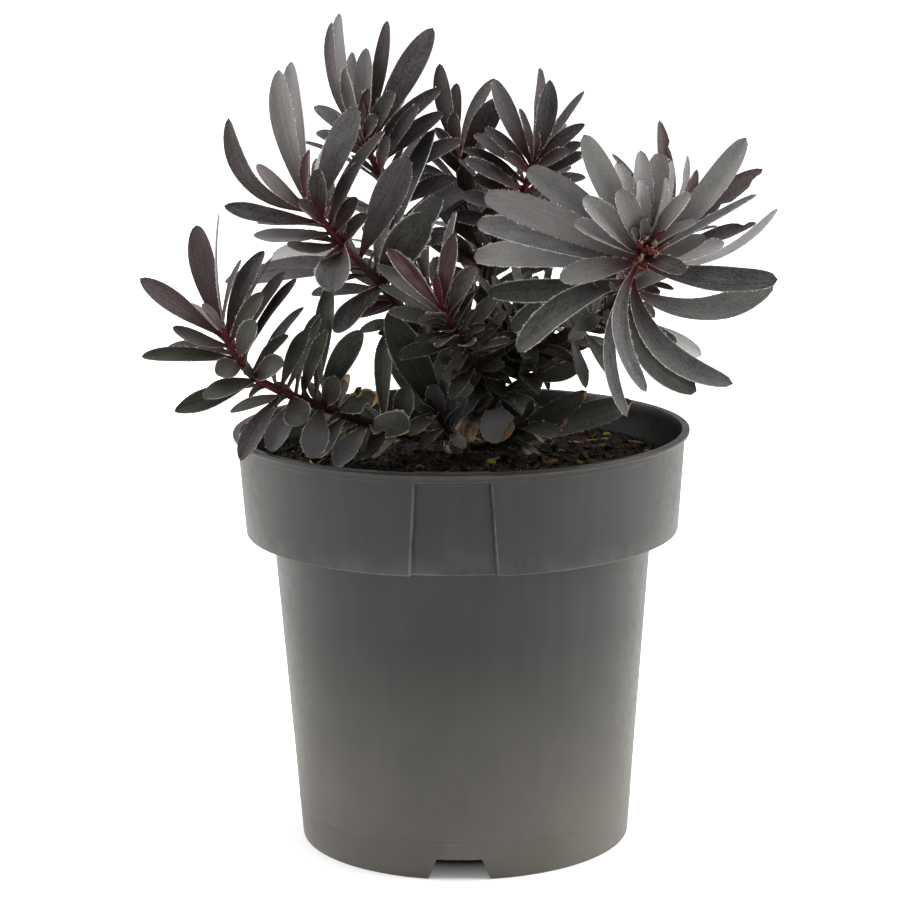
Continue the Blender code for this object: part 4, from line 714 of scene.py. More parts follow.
def addChips(shape, rng, spots, length, width, thickness, tilt, lift, colours):
    # flat splinters with a ragged six-sided outline and low pointed faces, turned and tilted at random
    count = len(spots)
    angles = np.arange(6) * math.tau / 6 + rng.uniform(-.35, .35, (count, 6))
    reach = rng.uniform(.72, 1.1, (count, 6))
    x = np.cos(angles) * reach * length[:, None] / 2
    y = np.sin(angles) * reach * width[:, None] / 2
    z = np.broadcast_to(thickness[:, None] / 2, x.shape) * rng.uniform(.6, 1.2, x.shape)
    shrink = rng.uniform(.72, .95, (count, 1))
    ends = np.array([(0, 0, -.55), (0, 0, .55)]) * thickness[:, None, None]
    foot, top = np.stack([x, y, -z], -1), np.stack([x * shrink, y * shrink, z], -1)
    local = np.concatenate([foot, top, ends], axis=1)
    turned = turnings(rng.uniform(0, math.tau, count), rng.normal(0, tilt, count), rng.normal(0, tilt, count))
    verts = np.einsum("nij,nkj->nki", turned, local) + onGround(spots, lift * thickness)[:, None]
    side = np.arange(6)
    after = (side + 1) % 6
    quads = np.stack([side, after, after + 6, side + 6], axis=1)
    tris = np.concatenate([np.stack([after, side, np.full(6, 12)], 1),
                           np.stack([side + 6, after + 6, np.full(6, 13)], 1)])
    offsets = (np.arange(count) * 14)[:, None, None]
    shape.add(verts, quads + offsets, tris + offsets, barkTint=np.repeat(colours, 14, axis=0))


def spikes(roots, tips, widths):
    # one closed slim pyramid with a three-sided foot from each root to each tip
    along = unit(tips - roots)
    hint = np.where(np.abs(along[:, 2:]) > .8, (1.0, 0, 0), (0, 0, 1.0))
    across = unit(np.cross(along, hint))
    ring = np.einsum("sa,nax->nsx", around(np.arange(3) * math.tau / 3),
                     np.stack([across, np.cross(along, across)], axis=1))
    foot = roots[:, None] + ring * np.asarray(widths, float).reshape(-1, 1, 1) / 2
    faces = np.array([(0, 1, 3), (1, 2, 3), (2, 0, 3), (0, 2, 1)])
    offsets = (np.arange(len(roots)) * 4)[:, None, None]
    return np.concatenate([foot, tips[:, None]], axis=1).reshape(-1, 3), [], faces + offsets


def addLitterPiece(shape, rng, piece, colour, low, high):
    # one straw or tuft, in a random strength of its colour
    own = (*(np.array(mix[colour]) * rng.uniform(low, high)), rng.uniform(0, 1))
    shape.add(*piece, barkTint=np.tile(own, (len(piece[0]), 1)))


def makeLitter(material):
    # bark chips, crumbs, straws and moss tufts lying on the ground
    rng = np.random.default_rng(mix["seed"])
    shape = Shape()
    for count, size, slim, tilt, lift in (mix["chips"], mix["crumbs"]):
        spots = scatter(count, rng, mix["litterReach"])
        length = size[0] + (size[1] - size[0]) * rng.uniform(0, 1, count) ** 2.2
        length = np.minimum(length, (mix["litterEdge"] - np.linalg.norm(spots, axis=1)) * 2)
        width = length * rng.uniform(*slim, count)
        thickness = np.clip(length * rng.uniform(.16, .4, count), *mix["thickness"])
        kind = rng.uniform(0, 1, count)
        share = rng.uniform(.0, 1, count)[:, None] ** 2
        colours = np.array(mix["black"]) * (1 - share) + np.array(mix["brown"]) * share
        tanned, mossy = kind > 1 - mix["tanShare"], kind < mix["mossShare"]
        for chosen, colour, high in ((tanned, "tan", 1), (mossy, "moss", .9)):
            colours[chosen] = np.array(mix[colour]) * rng.uniform(.3, high, (chosen.sum(), 1))
        tints = np.concatenate([colours, rng.uniform(0, 1, (count, 1))], axis=1)
        addChips(shape, rng, spots, length, width, thickness, tilt, lift, tints)
    count = mix["straws"]
    for spot, turn, length in zip(scatter(count, rng, mix["strawReach"]), rng.uniform(0, math.tau, count),
                                  rng.uniform(*mix["strawLength"], count)):
        steps = np.linspace(-.5, .5, len(mix["strawForm"]))
        flat = spot + np.outer(steps * length, around(turn))
        flat += np.outer(steps ** 2 * length * rng.uniform(-.5, .5), (-math.sin(turn), math.cos(turn)))
        radius = rng.uniform(.25, .6)
        line = onGround(flat, 1.1 + radius + steps * rng.uniform(-2, 2))
        addLitterPiece(shape, rng, sweptTube(line, radius * np.array(mix["strawForm"]), 6), "tan", .3, 1.2)
    strands = mix["strands"]
    for spot in scatter(mix["tufts"], rng, mix["tuftReach"]):
        directions = unit(rng.normal(0, 1, (strands, 3)) * (1, 1, .4) + (0, 0, .9))
        roots = onGround(spot[None], .8) + rng.normal(0, .45, (strands, 3)) * (1, 1, .2)
        tips = roots + directions * rng.uniform(*mix["strandLength"], (strands, 1))
        addLitterPiece(shape, rng, spikes(roots, tips, mix["strandWidth"]), "moss", .25, 1.1)
    return shape.build("bark_litter", material, mix["sharpAngle"])


def barkMatter(name, ownTint):
    # damp black-brown crumbs: colour from the chip's own tint or a mix of two browns, with fibre streaks
    paint = newFinish(name, .8, .1)
    spot = paint.spot()
    coarse, fine = paint.noise(spot, 260.0, 5.0, 0.65), paint.noise(spot, 1300.0, 4.0, 0.6)
    if ownTint:
        own = paint.attribute("barkTint")["Color"]
        colour = paint.mix(paint.remap(coarse, .35, .7, 0, .6), own, mix["black"])
    else:
        colour = paint.mix(paint.remap(coarse, .4, .7), mix["black"], mix["brown"])
    paint.coat({"Base Color": paint.mix(paint.remap(fine, .7, .78, 0, .3), colour, mix["tan"]),
                "Roughness": paint.remap(coarse, .3, .7, .62, .95),
                "Normal": paint.bump(paint.plus(paint.times(fine, .4), coarse), .0008, .8)})
    return paint.material


print("potting mix")
place(makeGround(barkMatter("dampMix", False)), "potting_mix", "soil")
place(makeLitter(barkMatter("barkChips", True)), "potting_mix")


# Trunk

wood = {
    "trunk": [(-2, 8, 163), (-2, 8, 170.5), (0, 8.5, 176), (3.5, 9.5, 182.5), (8, 11.5, 190),
              (11, 12.5, 197)],
    "trunkRadius": (5.6, 3.6), "trunkSides": 28, "flare": 1.5, "flareRows": 16, "ridges": .06,
    "limbs": {
        "left": ([(4, 10, 184), (-4, 9, 200), (-13, 5, 216), (-20, 2, 227)], 3.2, 2.5),
        "middle": ([(8, 12, 192), (8, 14, 203), (10, 16, 219), (11, 17, 232)], 3.2, 2.4),
        "right": ([(7, 12, 190), (15, 4, 207), (28, -5, 218), (44, -12, 224)], 3.2, 2.6),
        "back": ([(6, 12, 187), (5, 24, 199), (6, 38, 212), (6, 46, 220)], 3.0, 2.4),
    },
    "limbRows": 48, "limbSides": 18, "footRows": 22, "footSides": 14, "limbRidges": .05,
    "fibres": 60, "fibreFoot": (-2, 8), "fibreLow": (168, 176), "fibreLength": (3, 8), "seed": 61,
    "tan": (0.32, 0.225, 0.12), "tanTop": .184, "tanFade": .008, "redBrown": (0.018, 0.009, 0.007),
    "dark": (0.022, 0.012, 0.009), "bloom": (.12, .1, .085),
}


def ridged(rows, sides, seed, depth):
    # radius factors: lengthwise ridges that wander slowly, and small knots
    rng = np.random.default_rng(seed)
    turn = np.arange(sides) * math.tau / sides
    step = np.arange(rows)[:, None]
    total = np.ones((rows, sides))
    for lobes in (2, 3, 5, 7, 11):
        wander = rng.uniform(0, math.tau) + step * rng.uniform(-.06, .06)
        total = total + depth * rng.uniform(.4, 1) / math.sqrt(lobes) * np.sin(lobes * turn + wander)
    return total + depth * .5 * np.sin(step * .9 + rng.uniform(0, math.tau)) * np.sin(step * .37)


def ridgedTube(line, radii, sides, seed, depth):
    # a swept tube with ridges of its own
    return sweptTube(line, radii, sides, ridged(len(line), sides, seed, depth))


def makeWood(material):
    # trunk, limbs and each shoot's bare foot as ridged tubes, and loose fibres at the tan foot
    shape = Shape()
    line = smoothPath(wood["trunk"], curveSteps)
    radii = np.linspace(*wood["trunkRadius"], curveSteps)
    radii[:wood["flareRows"]] += wood["flare"] * (1 - np.linspace(0, 1, wood["flareRows"])) ** 2 * .5
    shape.add(*ridgedTube(line, radii, wood["trunkSides"], 3, wood["ridges"]))
    for number, (points, thick, thin) in enumerate(wood["limbs"].values()):
        line = smoothPath(points, wood["limbRows"])
        radii = np.linspace(thick, thin, wood["limbRows"])
        shape.add(*ridgedTube(line, radii, wood["limbSides"], number + 10, wood["limbRidges"]))
    for number, shoot in enumerate(shoots.values()):
        line = cutLine(smoothPath(shoot["path"], curveSteps), 0, shoot["bare"], wood["footRows"])
        radii = np.full(wood["footRows"], shoot["radius"][0])
        shape.add(*ridgedTube(line, radii, wood["footSides"], number + 30, wood["limbRidges"]))
    rng = np.random.default_rng(wood["seed"])
    outward = around(rng.uniform(0, math.tau, wood["fibres"]))
    low = rng.uniform(*wood["fibreLow"], wood["fibres"])
    high = low + rng.uniform(*wood["fibreLength"], wood["fibres"])
    roots, tips = (np.concatenate([wood["fibreFoot"] + outward * reach, height[:, None]], axis=1)
                   for reach, height in ((5.6, low), (6.3, high)))
    shape.add(*spikes(roots, tips, rng.uniform(.4, .9, wood["fibres"])))
    return shape.build("woody_trunk", material)


def barkSkin():
    # fibrous bark: tan at the foot and red-brown above, with lengthwise streaks, cracks and grey bloom
    paint = newFinish("barkSkin", 0.75, 0.3)
    spot = paint.spot()
    streak = paint.noise(paint.stretch(spot, 1, 1, .16), 900.0, 5.0, .65)
    patch = paint.noise(spot, 160.0, 4.0, .6)
    edge = paint.plus(paint.axes(spot)["Z"], paint.times(patch, .012))
    tanShare = paint.remap(edge, wood["tanTop"] + wood["tanFade"], wood["tanTop"])
    colour = paint.mix(tanShare, wood["redBrown"], wood["tan"])
    colour = paint.mix(paint.remap(streak, .45, .62, 0, .8), colour, wood["dark"])
    colour = paint.mix(paint.remap(patch, .58, .72, 0, .35), colour, wood["bloom"])
    paint.coat({"Base Color": colour, "Roughness": paint.remap(patch, .3, .7, .6, .9),
                "Normal": paint.bump(paint.plus(streak, patch), .0009, .9)})
    return paint.material


print("trunk")
place(makeWood(barkSkin()), "bark", "trunk")


# Leafy shoots

leafForm = {
    "rows": 16, "rowPower": 1.25, "across": (-1, -.55, 0, .55, 1), "rootHalf": 1.1, "rootReach": .4,
    "fullWidth": 7, "thickness": .95, "thinning": .4, "rim": .34, "arch": .05, "groove": .12,
    "cup": (.14, .34), "cupPower": 1.5, "wave": .07, "waves": (1.2, 2.4), "wavePhase": (0, 6), "twist": 14,
    "untwist": .3, "blunt": (.58, .74), "swell": (1.45, 1.75), "ragged": (.7, 1.15), "biteMost": .9,
    "sharpAngle": 42, "seed": 20, "tipGap": .05,
    "lightDraw": (.3, .12), "redDraw": (.25, .3), "greenDraw": .1, "seedSpan": 97,
    "redReach": 7.0, "redFade": 1.2, "dryFade": .05, "drySlant": .05, "dryEdgeStart": .15, "dryEdgeFade": .6,
    "sides": {"back": (0, 1, 0), "front": (0, -1, 0), "right": (1, -.4, 0), "all": (.2, 1, 0)},
    "tries": ((0, 0, 1), (0, 6, 1), (0, -6, 1), (0, 12, 1), (0, -12, 1), (4, 0, 1), (-4, 0, 1),
              (0, 20, 1), (0, -20, 1), (5, 12, .95), (-5, 12, .95), (5, -12, .95), (-5, -12, .95),
              (8, 24, .9), (-8, 24, .9), (8, -24, .9), (-8, -24, .9), (0, 30, .85), (0, -30, .85),
              (12, 10, .8), (-12, 10, .8), (12, -10, .8), (-12, -10, .8), (0, 0, .7)),
}

# Leaves of the golden-angle spiral: angles in degrees, but turnDraw in radians, and what a random draw
# adds to each measure
spiralForm = {
    "swing": 80, "spread": 74, "spreadDrop": 40, "turnTry": 3, "turnDraw": .3, "spreadDraw": 8,
    "lengthDraw": .12, "lengthFoot": .75, "lengthRise": .5, "peak": 1.15, "slim": .19, "slimDraw": .03,
    "width": 1.5,
}

# Small filling leaves: ranges of random draws, and how much of the shoot's tint they take; their low
# lightness is partly painted shade of the plant's middle
fillForm = {
    "turn": (-20, 20), "spread": 72, "spreadDrop": 30, "spreadDraw": (-12, 12), "length": (.65, 1.1),
    "arch": (-.03, .12), "slim": (.2, .33), "width": 1, "rows": 9, "baseRed": .1,
    "tint": (.25, .2, 1, .15, .3), "greener": .45, "limbTint": (.05, .05, .35, .5, 1.2), "seed": 700,
}

hairForm = {
    "length": .95, "width": .2, "first": .06, "sunk": .1, "clump": (.55, .45), "clumps": (.9, 1.5),
    "outward": (.5, 1), "forward": (.2, 1.1), "rise": (.1, .35), "spread": (.5, 1.3),
}

stemForm = {
    "sides": 12, "rows": 40, "pathRows": 41, "pathStep": 12, "start": .3, "ridges": .07, "shade": (.3, .9),
    "budLength": 4.5, "budWide": .95, "budSides": 10, "budRows": 9, "redFrom": .3,
}

leafColour = {
    "dark": (.015, .0143, .014), "light": (.34, .333, .328), "burgundy": (.05, .01, .014),
    "olive": (.034, .04, .016), "pale": (.2, .195, .188), "crimson": (.1, .007, .011),
    "silver": (.7, .69, .67), "redEdge": (.11, .022, .026), "tan": (.4, .25, .12),
    "scorch": (.09, .035, .018), "gland": (.045, .014, .012), "youngStem": (.1, .007, .01),
    "oldStem": (.03, .016, .012), "bract": (.19, .01, .013), "hairLow": (.7, .68, .66),
    "hairHigh": (.95, .93, .91),
}

# Tints of a shoot's leaves: lightness (the leaves' own tone with painted light and shade in it), red, green,
# silver margin, hairs a millimetre
looks = {
    "shoot_right_rosette": (.78, .04, 0, .35, 1.4), "shoot_upper_left": (.17, .25, 0, .35, 1.6),
    "shoot_low_left": (.09, .04, .55, .35, 1.4), "shoot_top": (.08, .25, 0, .35, 1.4),
    "shoot_upper_right": (.06, .15, .05, .4, 1.4), "shoot_front_centre": (.06, .1, .35, .4, 1.2),
    "shoot_behind_top": (.1, .35, .1, .3, 1.0), "shoot_right_behind": (.1, .85, 0, .2, .8),
    "shoot_inner_right": (.05, .05, .4, .3, .8), "shoot_low_right": (.12, .05, .6, .2, .8),
    "shoot_low_twig": (.12, .05, .4, .4, .6), "shoot_low_front": (.36, 0, .35, .7, 2.0),
    "shoot_back_left": (.15, .3, .1, .4, 1.0), "shoot_back": (.15, .25, .2, .4, 1.0),
    "shoot_back_right": (.15, .3, .2, .4, 1.0),
}

# How blunt a shoot's leaves are, from strap-like to pointed, and how red their feet are
commonBluntness = (.52, .68)
bluntness = {"shoot_right_rosette": (.4, .5), "shoot_upper_left": (.46, .58), "shoot_top": (.46, .58)}
footRed = {"shoot_low_front": .1, "shoot_low_right": .1, "shoot_low_twig": .1, "shoot_inner_right": .2,
           "shoot_low_left": .45, "shoot_front_centre": .6}

# Leaves whose tint differs from the rest of their shoot, by number: a tint, or another lightness alone. A
# lightness holds painted light and shade besides the leaf's own tone
tints = {
    "shoot_right_rosette": {
        0: .9, 1: .5, 2: .4, 3: .5, 4: .42, 5: .36, 6: .55, 7: (.52, .02, 0, 1, 3), 8: (.68, .05, 0, .35, 1),
        10: (.2, 0, 0, .9, 2), 11: (.8, 0, 0, .9, 2), 12: (.07, .04, .15, .35, 1.4),
        13: (.4, .02, .15, .35, 1.4), 14: (.07, .05, .1, .3, 1), 15: (.17, .02, .1, .8, 2.4),
        16: (.08, 0, .3, .5, 2), 17: (.16, .02, .05, .8, 2.5), 18: (.2, 0, .05, .9, 2.5),
        19: (.18, 0, .15, .9, 3), 20: (.06, 0, .5, .9, 4), 21: (.48, 0, 0, .7, 4), 22: (.44, 0, 0, .3, 1.2),
        23: (.23, 0, 0, .8, 4),
        24: (.62, .04, 0, .1, .8), 25: (.66, .04, 0, .1, .8), 26: (.72, 0, 0, .5, 1.6),
        27: (.72, 0, 0, .8, 2.5), 28: (.3, .1, 0, .3, 1), 29: (.25, .15, 0, .3, 1), 30: (0, 0, .25, .9, 2.4),
        31: (.13, 0, .3, .9, 4)},
    "shoot_upper_left": {
        0: (.62, .35, 0, .3, 1.4), 1: (.8, .25, 0, .9, 3.5), 2: (.17, .35, 0, .3, 1.4),
        3: (.62, .5, 0, .3, 1), 5: (.85, .15, 0, .2, .6), 6: (.04, .1, .05, .25, 1), 7: .3,
        8: (.08, .1, 0, .25, 1), 9: (.04, 1.3, 0, .4, 1), 10: (.36, .1, 0, .3, 1.4), 11: (.95, 0, 0, .9, 3),
        12: (.03, .2, 0, .3, 1.4), 13: (.02, .1, 0, .3, 1), 14: (.02, .1, 0, .3, 1),
        15: (.08, .1, 0, .3, 1), 17: (.02, .05, 0, 1, 4),
        18: (.36, 0, .05, .9, 3), 19: (.1, 0, .1, 1, 5), 20: (.13, .2, 0, .6, 1.6), 21: (1, .05, 0, .2, .6),
        22: (.08, .05, .15, 1, 3), 23: (0, .05, .1, .5, 2), 24: (.4, 0, 0, 1, 4), 25: (.2, 0, .1, 1, 4)},
    "shoot_top": {
        0: (.2, .5, 0, .3, 1), 1: (.5, .1, 0, .3, 1), 2: (.43, .1, 0, .5, 1.6), 3: (.32, .1, 0, .8, 2.4),
        4: (0, .4, 0, .3, 1), 5: (.07, .15, 0, .4, 1.2), 6: (.06, 1.6, 0, .5, 1), 7: (0, .4, 0, .3, 1),
        8: (0, 0, 0, .8, 2), 10: (0, .15, 0, .3, 1), 12: (.34, .15, 0, .3, 1), 13: (.4, .15, 0, .3, 1),
        14: (.25, .15, 0, .3, 1), 16: (0, .15, 0, .3, 1), 20: (.2, .1, 0, .3, 1), 22: (.34, .15, 0, .3, 1)},
    "shoot_upper_right": {
        0: (.05, .3, 0, .4, 1.4), 1: (.1, .15, 0, .4, 1.4), 3: 0, 4: (.32, .15, 0, .4, 1.4), 6: 0, 8: 0,
        9: (.3, .2, .05, .4, 1.4), 11: 0, 13: .2, 15: 0, 16: 0, 18: (.28, .1, .05, .4, 1.4),
        20: (.12, 0, .05, .4, 1.4)},
    "shoot_front_centre": {
        0: (.3, .9, 0, 1, 3.5), 1: (.53, .3, 0, 1, 4), 2: (.22, 1, 0, .8, 3), 3: (.14, .1, 0, .4, 1.4),
        4: (.07, 1, 0, .3, 1), 5: (.02, 0, .2, .3, 1), 6: (.3, .2, .1, .5, 1.4), 7: (.28, .1, .1, .5, 1.4),
        8: (.22, 0, .5, .4, 1), 9: (.34, 0, .75, .3, 1), 11: (.62, 0, .5, .3, 1), 12: (.02, .1, .15, .3, 1),
        13: (.04, .05, .2, .3, 1), 14: (.45, 0, .3, .4, 1.4), 15: (.44, 0, .1, .5, 1.4),
        16: (.02, 0, .3, .3, 1), 17: (0, 0, .3, .3, 1)},
    "shoot_low_left": {
        **dict.fromkeys(range(3, 9), (.04, .2, .1, .3, 1)),
        **dict.fromkeys(range(21, 26), (.03, 0, .5, .35, 1.2)),
        0: (.17, .9, 0, .25, 1), 1: (1, 0, 0, 1, 1), 2: (.2, .3, 0, .3, 1), 6: 0, 9: (.26, .7, 0, .35, 1),
        10: (1.1, .1, 0, .2, .6), 11: (.62, .9, 0, .2, .6), 12: (.3, .6, 0, .3, 1),
        15: (.14, .05, .6, .5, 1.4), 16: (.34, 0, .6, .5, 1.4), 17: (0, 0, .5, .4, 1.4),
        18: (.3, 0, .65, .5, 1.4), 20: (.18, 0, .55, .4, 1), 26: (.14, 0, .5, .9, 3),
        27: (.28, 0, .7, .6, 2), 28: (0, .1, .2, .4, 1.4),
        29: (.2, .15, 0, .35, 1.4), 30: (.38, 0, .05, .5, 2), 31: (.6, 0, .15, 1, 4),
        32: (0, 0, .5, 1, 3), 33: (.4, 0, .15, .8, 3),
        35: (.12, 0, .6, 1, 3), 37: (.06, 0, .6, 1, 4), 38: (.04, 0, .5, 1, 4), 39: (.09, 0, .5, 1, 3),
        40: (.15, 0, .4, .8, 3)},
    "shoot_low_twig": {
        0: (1, .03, .05, .6, 1), 1: (.5, 0, .2, .6, 1.4), 4: (.2, 0, .6, .9, 2), 7: (.25, 0, .4, .5, 1.4)},
    "shoot_low_front": {
        0: (.12, 0, .45, .6, 2), 1: (.3, 0, .1, .6, 2), 2: (.05, 0, .3, .4, 1.4), 5: (.16, 0, .35, .7, 2)},
    "shoot_low_right": {
        0: (.4, 0, .5, .2, .5), 1: (.13, 0, .5, .2, .5), 2: (.22, 0, .4, .2, .5), 5: (.3, 0, .5, .2, .5)},
    "shoot_right_behind": {
        1: (0, .1, 0, .8, 2), 2: (.5, .1, 0, .8, 2), 3: (.5, 1.5, 0, .2, .6), 4: (.2, .85, 0, .2, .8),
        5: (.14, .4, 0, .3, 1), 6: (.04, .2, 0, .3, 1)},
}

# Leaves of their own form, by number. A bite is its side, place, span and depth, and a dry edge is its
# side, where it starts along the leaf and how far it reaches in.
forms = {
    "shoot_right_rosette": {
        20: {"blunt": .36}, 21: {"blunt": .38}, 23: {"blunt": .38}, 24: {"blunt": .4},
        25: {"blunt": .4}, 31: {"blunt": .38}},
    "shoot_upper_left": {18: {"blunt": .5, "cup": .5}, 19: {"hairLength": 1.3, "blunt": .46}},
    "shoot_front_centre": {
        0: {"baseReach": 16}, 1: {"baseReach": 10}, 2: {"baseReach": 16}, 4: {"baseReach": 40}},
    "shoot_low_left": {
        35: {"dryTip": .92, "dryEdge": ((-1, .3, .35),), "bites": ((-1, .62, .07, .7), (1, .8, .05, .6))},
        37: {"dryTip": .95, "bites": ((1, .6, .08, .6),)}, 38: {"bites": ((1, .8, .05, .5),)},
        39: {"dryTip": .8}},
    "shoot_low_twig": {0: {"dryTip": .93, "drySlant": -.28, "blunt": .42, "cup": .1, "baseRed": 0}},
    "shoot_low_right": {
        0: {"dryEdge": ((1, .3, .3),), "dryTip": .985, "baseRed": 0}, 1: {"dryTip": .985, "baseRed": 0},
        2: {"dryTip": .965, "baseRed": 0}},
    "shoot_right_behind": {
        0: {"bites": ((1, .55, .06, .8), (1, .74, .05, .7))}, 2: {"bites": ((-1, .7, .06, .5),)},
        4: {"bites": ((1, .9, .04, .5), (1, .6, .03, .6))}, 5: {"bites": ((-1, .88, .05, .8),)}},
}

# Short inner leaves that fill a shoot or a limb: number, length, first and last place along it
fillers = {
    "shoot_right_rosette": (20, 30, .08, .62), "shoot_upper_left": (14, 24, .05, .7),
    "shoot_low_left": (16, 20, .25, .85), "shoot_top": (12, 22, .1, .8),
    "shoot_upper_right": (14, 22, .1, .8), "shoot_front_centre": (34, 19, .3, .93),
    "shoot_behind_top": (12, 24, .1, .8), "shoot_right_behind": (12, 26, .1, .8),
    "shoot_inner_right": (16, 24, .1, .8),
    "shoot_low_front": (8, 16, .3, .9), "shoot_back_left": (8, 22, .1, .8), "shoot_back": (8, 22, .1, .8),
    "shoot_back_right": (8, 22, .1, .8),
    "left": (18, 24, .3, .98), "middle": (22, 25, .25, .98), "right": (34, 29, .26, .98),
    "back": (10, 22, .4, .98),
}

# Red centres of bracts and buds: numbers and sizes, and each bud's shift, length, radius and colour
centres = {
    "shoot_right_rosette": {
        "bracts": 40, "spread": (10, 62), "length": (6, 15), "width": (1.7, 3.2), "depth": 12,
        "buds": ((-3, 1.5, 4.5, 1.4, (.14, .012, .012)), (-1, 3, 4.5, 1.3, (.12, .01, .012)),
                 (3, 1.5, 3.4, 1.2, (.2, .22, .03)), (1.5, -1.5, 3, 1, (.16, .05, .03)),
                 (-2.5, -4, 3.2, 1.1, (.2, .17, .05)), (3.5, -3, 3, 1, (.22, .17, .05)))},
    "shoot_upper_left": {
        "bracts": 16, "spread": (8, 50), "length": (4, 8), "width": (1.4, 2.2), "depth": 10, "buds": ()},
    "shoot_top": {
        "bracts": 8, "spread": (8, 35), "length": (4, 8), "width": (1.4, 2.2), "depth": 4, "buds": ()},
}

bractForm = {
    "arch": .08, "tint": (.2, .9, 0, 0, 0), "strength": (.3, 1.5), "own": .95, "rows": 7, "hairs": .8,
    "hairLength": .6, "budForward": -3.0, "budLean": .06, "tuft": 26, "tuftLength": (.7, 1.8),
}


def packedPoints(node):
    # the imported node's vertices in millimetres
    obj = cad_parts[node]
    flat = np.empty(len(obj.data.vertices) * 3)
    obj.data.vertices.foreach_get("co", flat)
    turn = np.array(obj.matrix_world)
    return (flat.reshape(-1, 3) @ turn[:3, :3].T + turn[:3, 3]) / mm


def rootAt(line, along):
    # the point at a share of the line's steps, and the line's slope there
    at = along * (len(line) - 1)
    low = min(int(at), len(line) - 2)
    step = line[low + 1] - line[low]
    return line[low] + step * (at - low), unit(step)


def leaning(axis, across, turn, spread):
    # the direction at an angle off the axis, turned round it, and the normal of a face towards the axis
    outward = math.cos(turn) * across + math.sin(turn) * np.cross(axis, across)
    up, out = math.cos(spread), math.sin(spread)
    return up * axis + out * outward, out * axis - up * outward


def picturedLeaf(row, line, turn, leanMore, shorter):
    # clock angle and lean give the chord; the face turns from the viewer to the stem's side
    along, clock, lean, length, width, facing, curl = row
    root, slope = rootAt(line, along)
    clock, lean = math.radians(clock + turn), math.radians(lean + leanMore)
    chord = np.array([math.sin(clock) * math.cos(lean), -math.sin(lean), math.cos(clock) * math.cos(lean)])
    toFront = unit(towardsViewer - chord * (towardsViewer @ chord))
    toSide = np.cross(chord, toFront)
    toSide = toSide * (1 if toSide @ slope >= 0 else -1)
    normal = facing * toFront + math.sqrt(1 - facing ** 2) * toSide
    inPicture = np.array([math.cos(clock), 0, -math.sin(clock)])
    length = length * shorter
    return root, root + chord * length, normal, (leafForm["arch"] * normal + curl * inPicture) * length, width


def spiralLeaf(number, shoot, line, draws, turn, leanMore, shorter):
    # golden-angle spiral, open low down and steep on top
    form = spiralForm
    along = (number + .5) / shoot["spiral"]
    root, slope = rootAt(line, along)
    across = unit(np.cross(np.cross(slope, leafForm["sides"][shoot["half"]]), slope))
    swing = number * math.radians(goldenAngle)
    if shoot["half"] != "all":
        swing = math.radians(form["swing"]) * math.sin(swing)
    swing += math.radians(form["turnTry"] * turn) + form["turnDraw"] * draws[0]
    spread = form["spread"] - form["spreadDrop"] * along + leanMore + form["spreadDraw"] * draws[1]
    chord, normal = leaning(slope, across, swing, math.radians(spread))
    swell = math.sin(math.pi * min(1, along * form["peak"]))
    length = shoot["spiralLength"] * (form["lengthFoot"] + form["lengthRise"] * swell) * shorter
    length *= 1 + form["lengthDraw"] * draws[2]
    width = (form["slim"] + form["slimDraw"] * draws[3]) * length + form["width"]
    return root, root + chord * length, normal, leafForm["arch"] * normal * length, width


def settled(make, points):
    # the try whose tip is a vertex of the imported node, or None for a leaf that found no room
    for turn, lean, shorter in leafForm["tries"]:
        leaf = make(turn, lean, shorter)
        if np.abs(points - leaf[1]).max(axis=1).min() < leafForm["tipGap"]:
            return leaf
    return None


def bladeRib(leaf, s):
    # quadratic curve from the root past the bowed middle to the tip: points, slopes, sides and normals
    root, tip, normal, bow, _ = leaf
    middle = (root + tip) / 2 + 2 * bow
    rib = (1 - s) ** 2 * root + 2 * s * (1 - s) * middle + s ** 2 * tip
    slopes = unit(2 * (1 - s) * (middle - root) + 2 * s * (tip - middle))
    sides = unit(np.cross(slopes, normal))
    return rib, slopes, sides, np.cross(sides, slopes)


def drynessAt(look, acrossAt, alongAt):
    # a dry tip past its place along the leaf, on a slant, and dry edges that reach in from one side
    start, fade = look.get("dryTip", 2), leafForm["dryFade"]
    slant = look.get("drySlant", leafForm["drySlant"])
    dry = smoothStep(start - fade, start + fade, alongAt + slant * acrossAt)
    for side, start, depth in look.get("dryEdge", ()):
        reached = smoothStep(start, start + leafForm["dryEdgeStart"], alongAt)
        inward = smoothStep(1 - depth, 1 - depth * leafForm["dryEdgeFade"], acrossAt * side)
        dry = np.maximum(dry, inward * reached)
    return dry


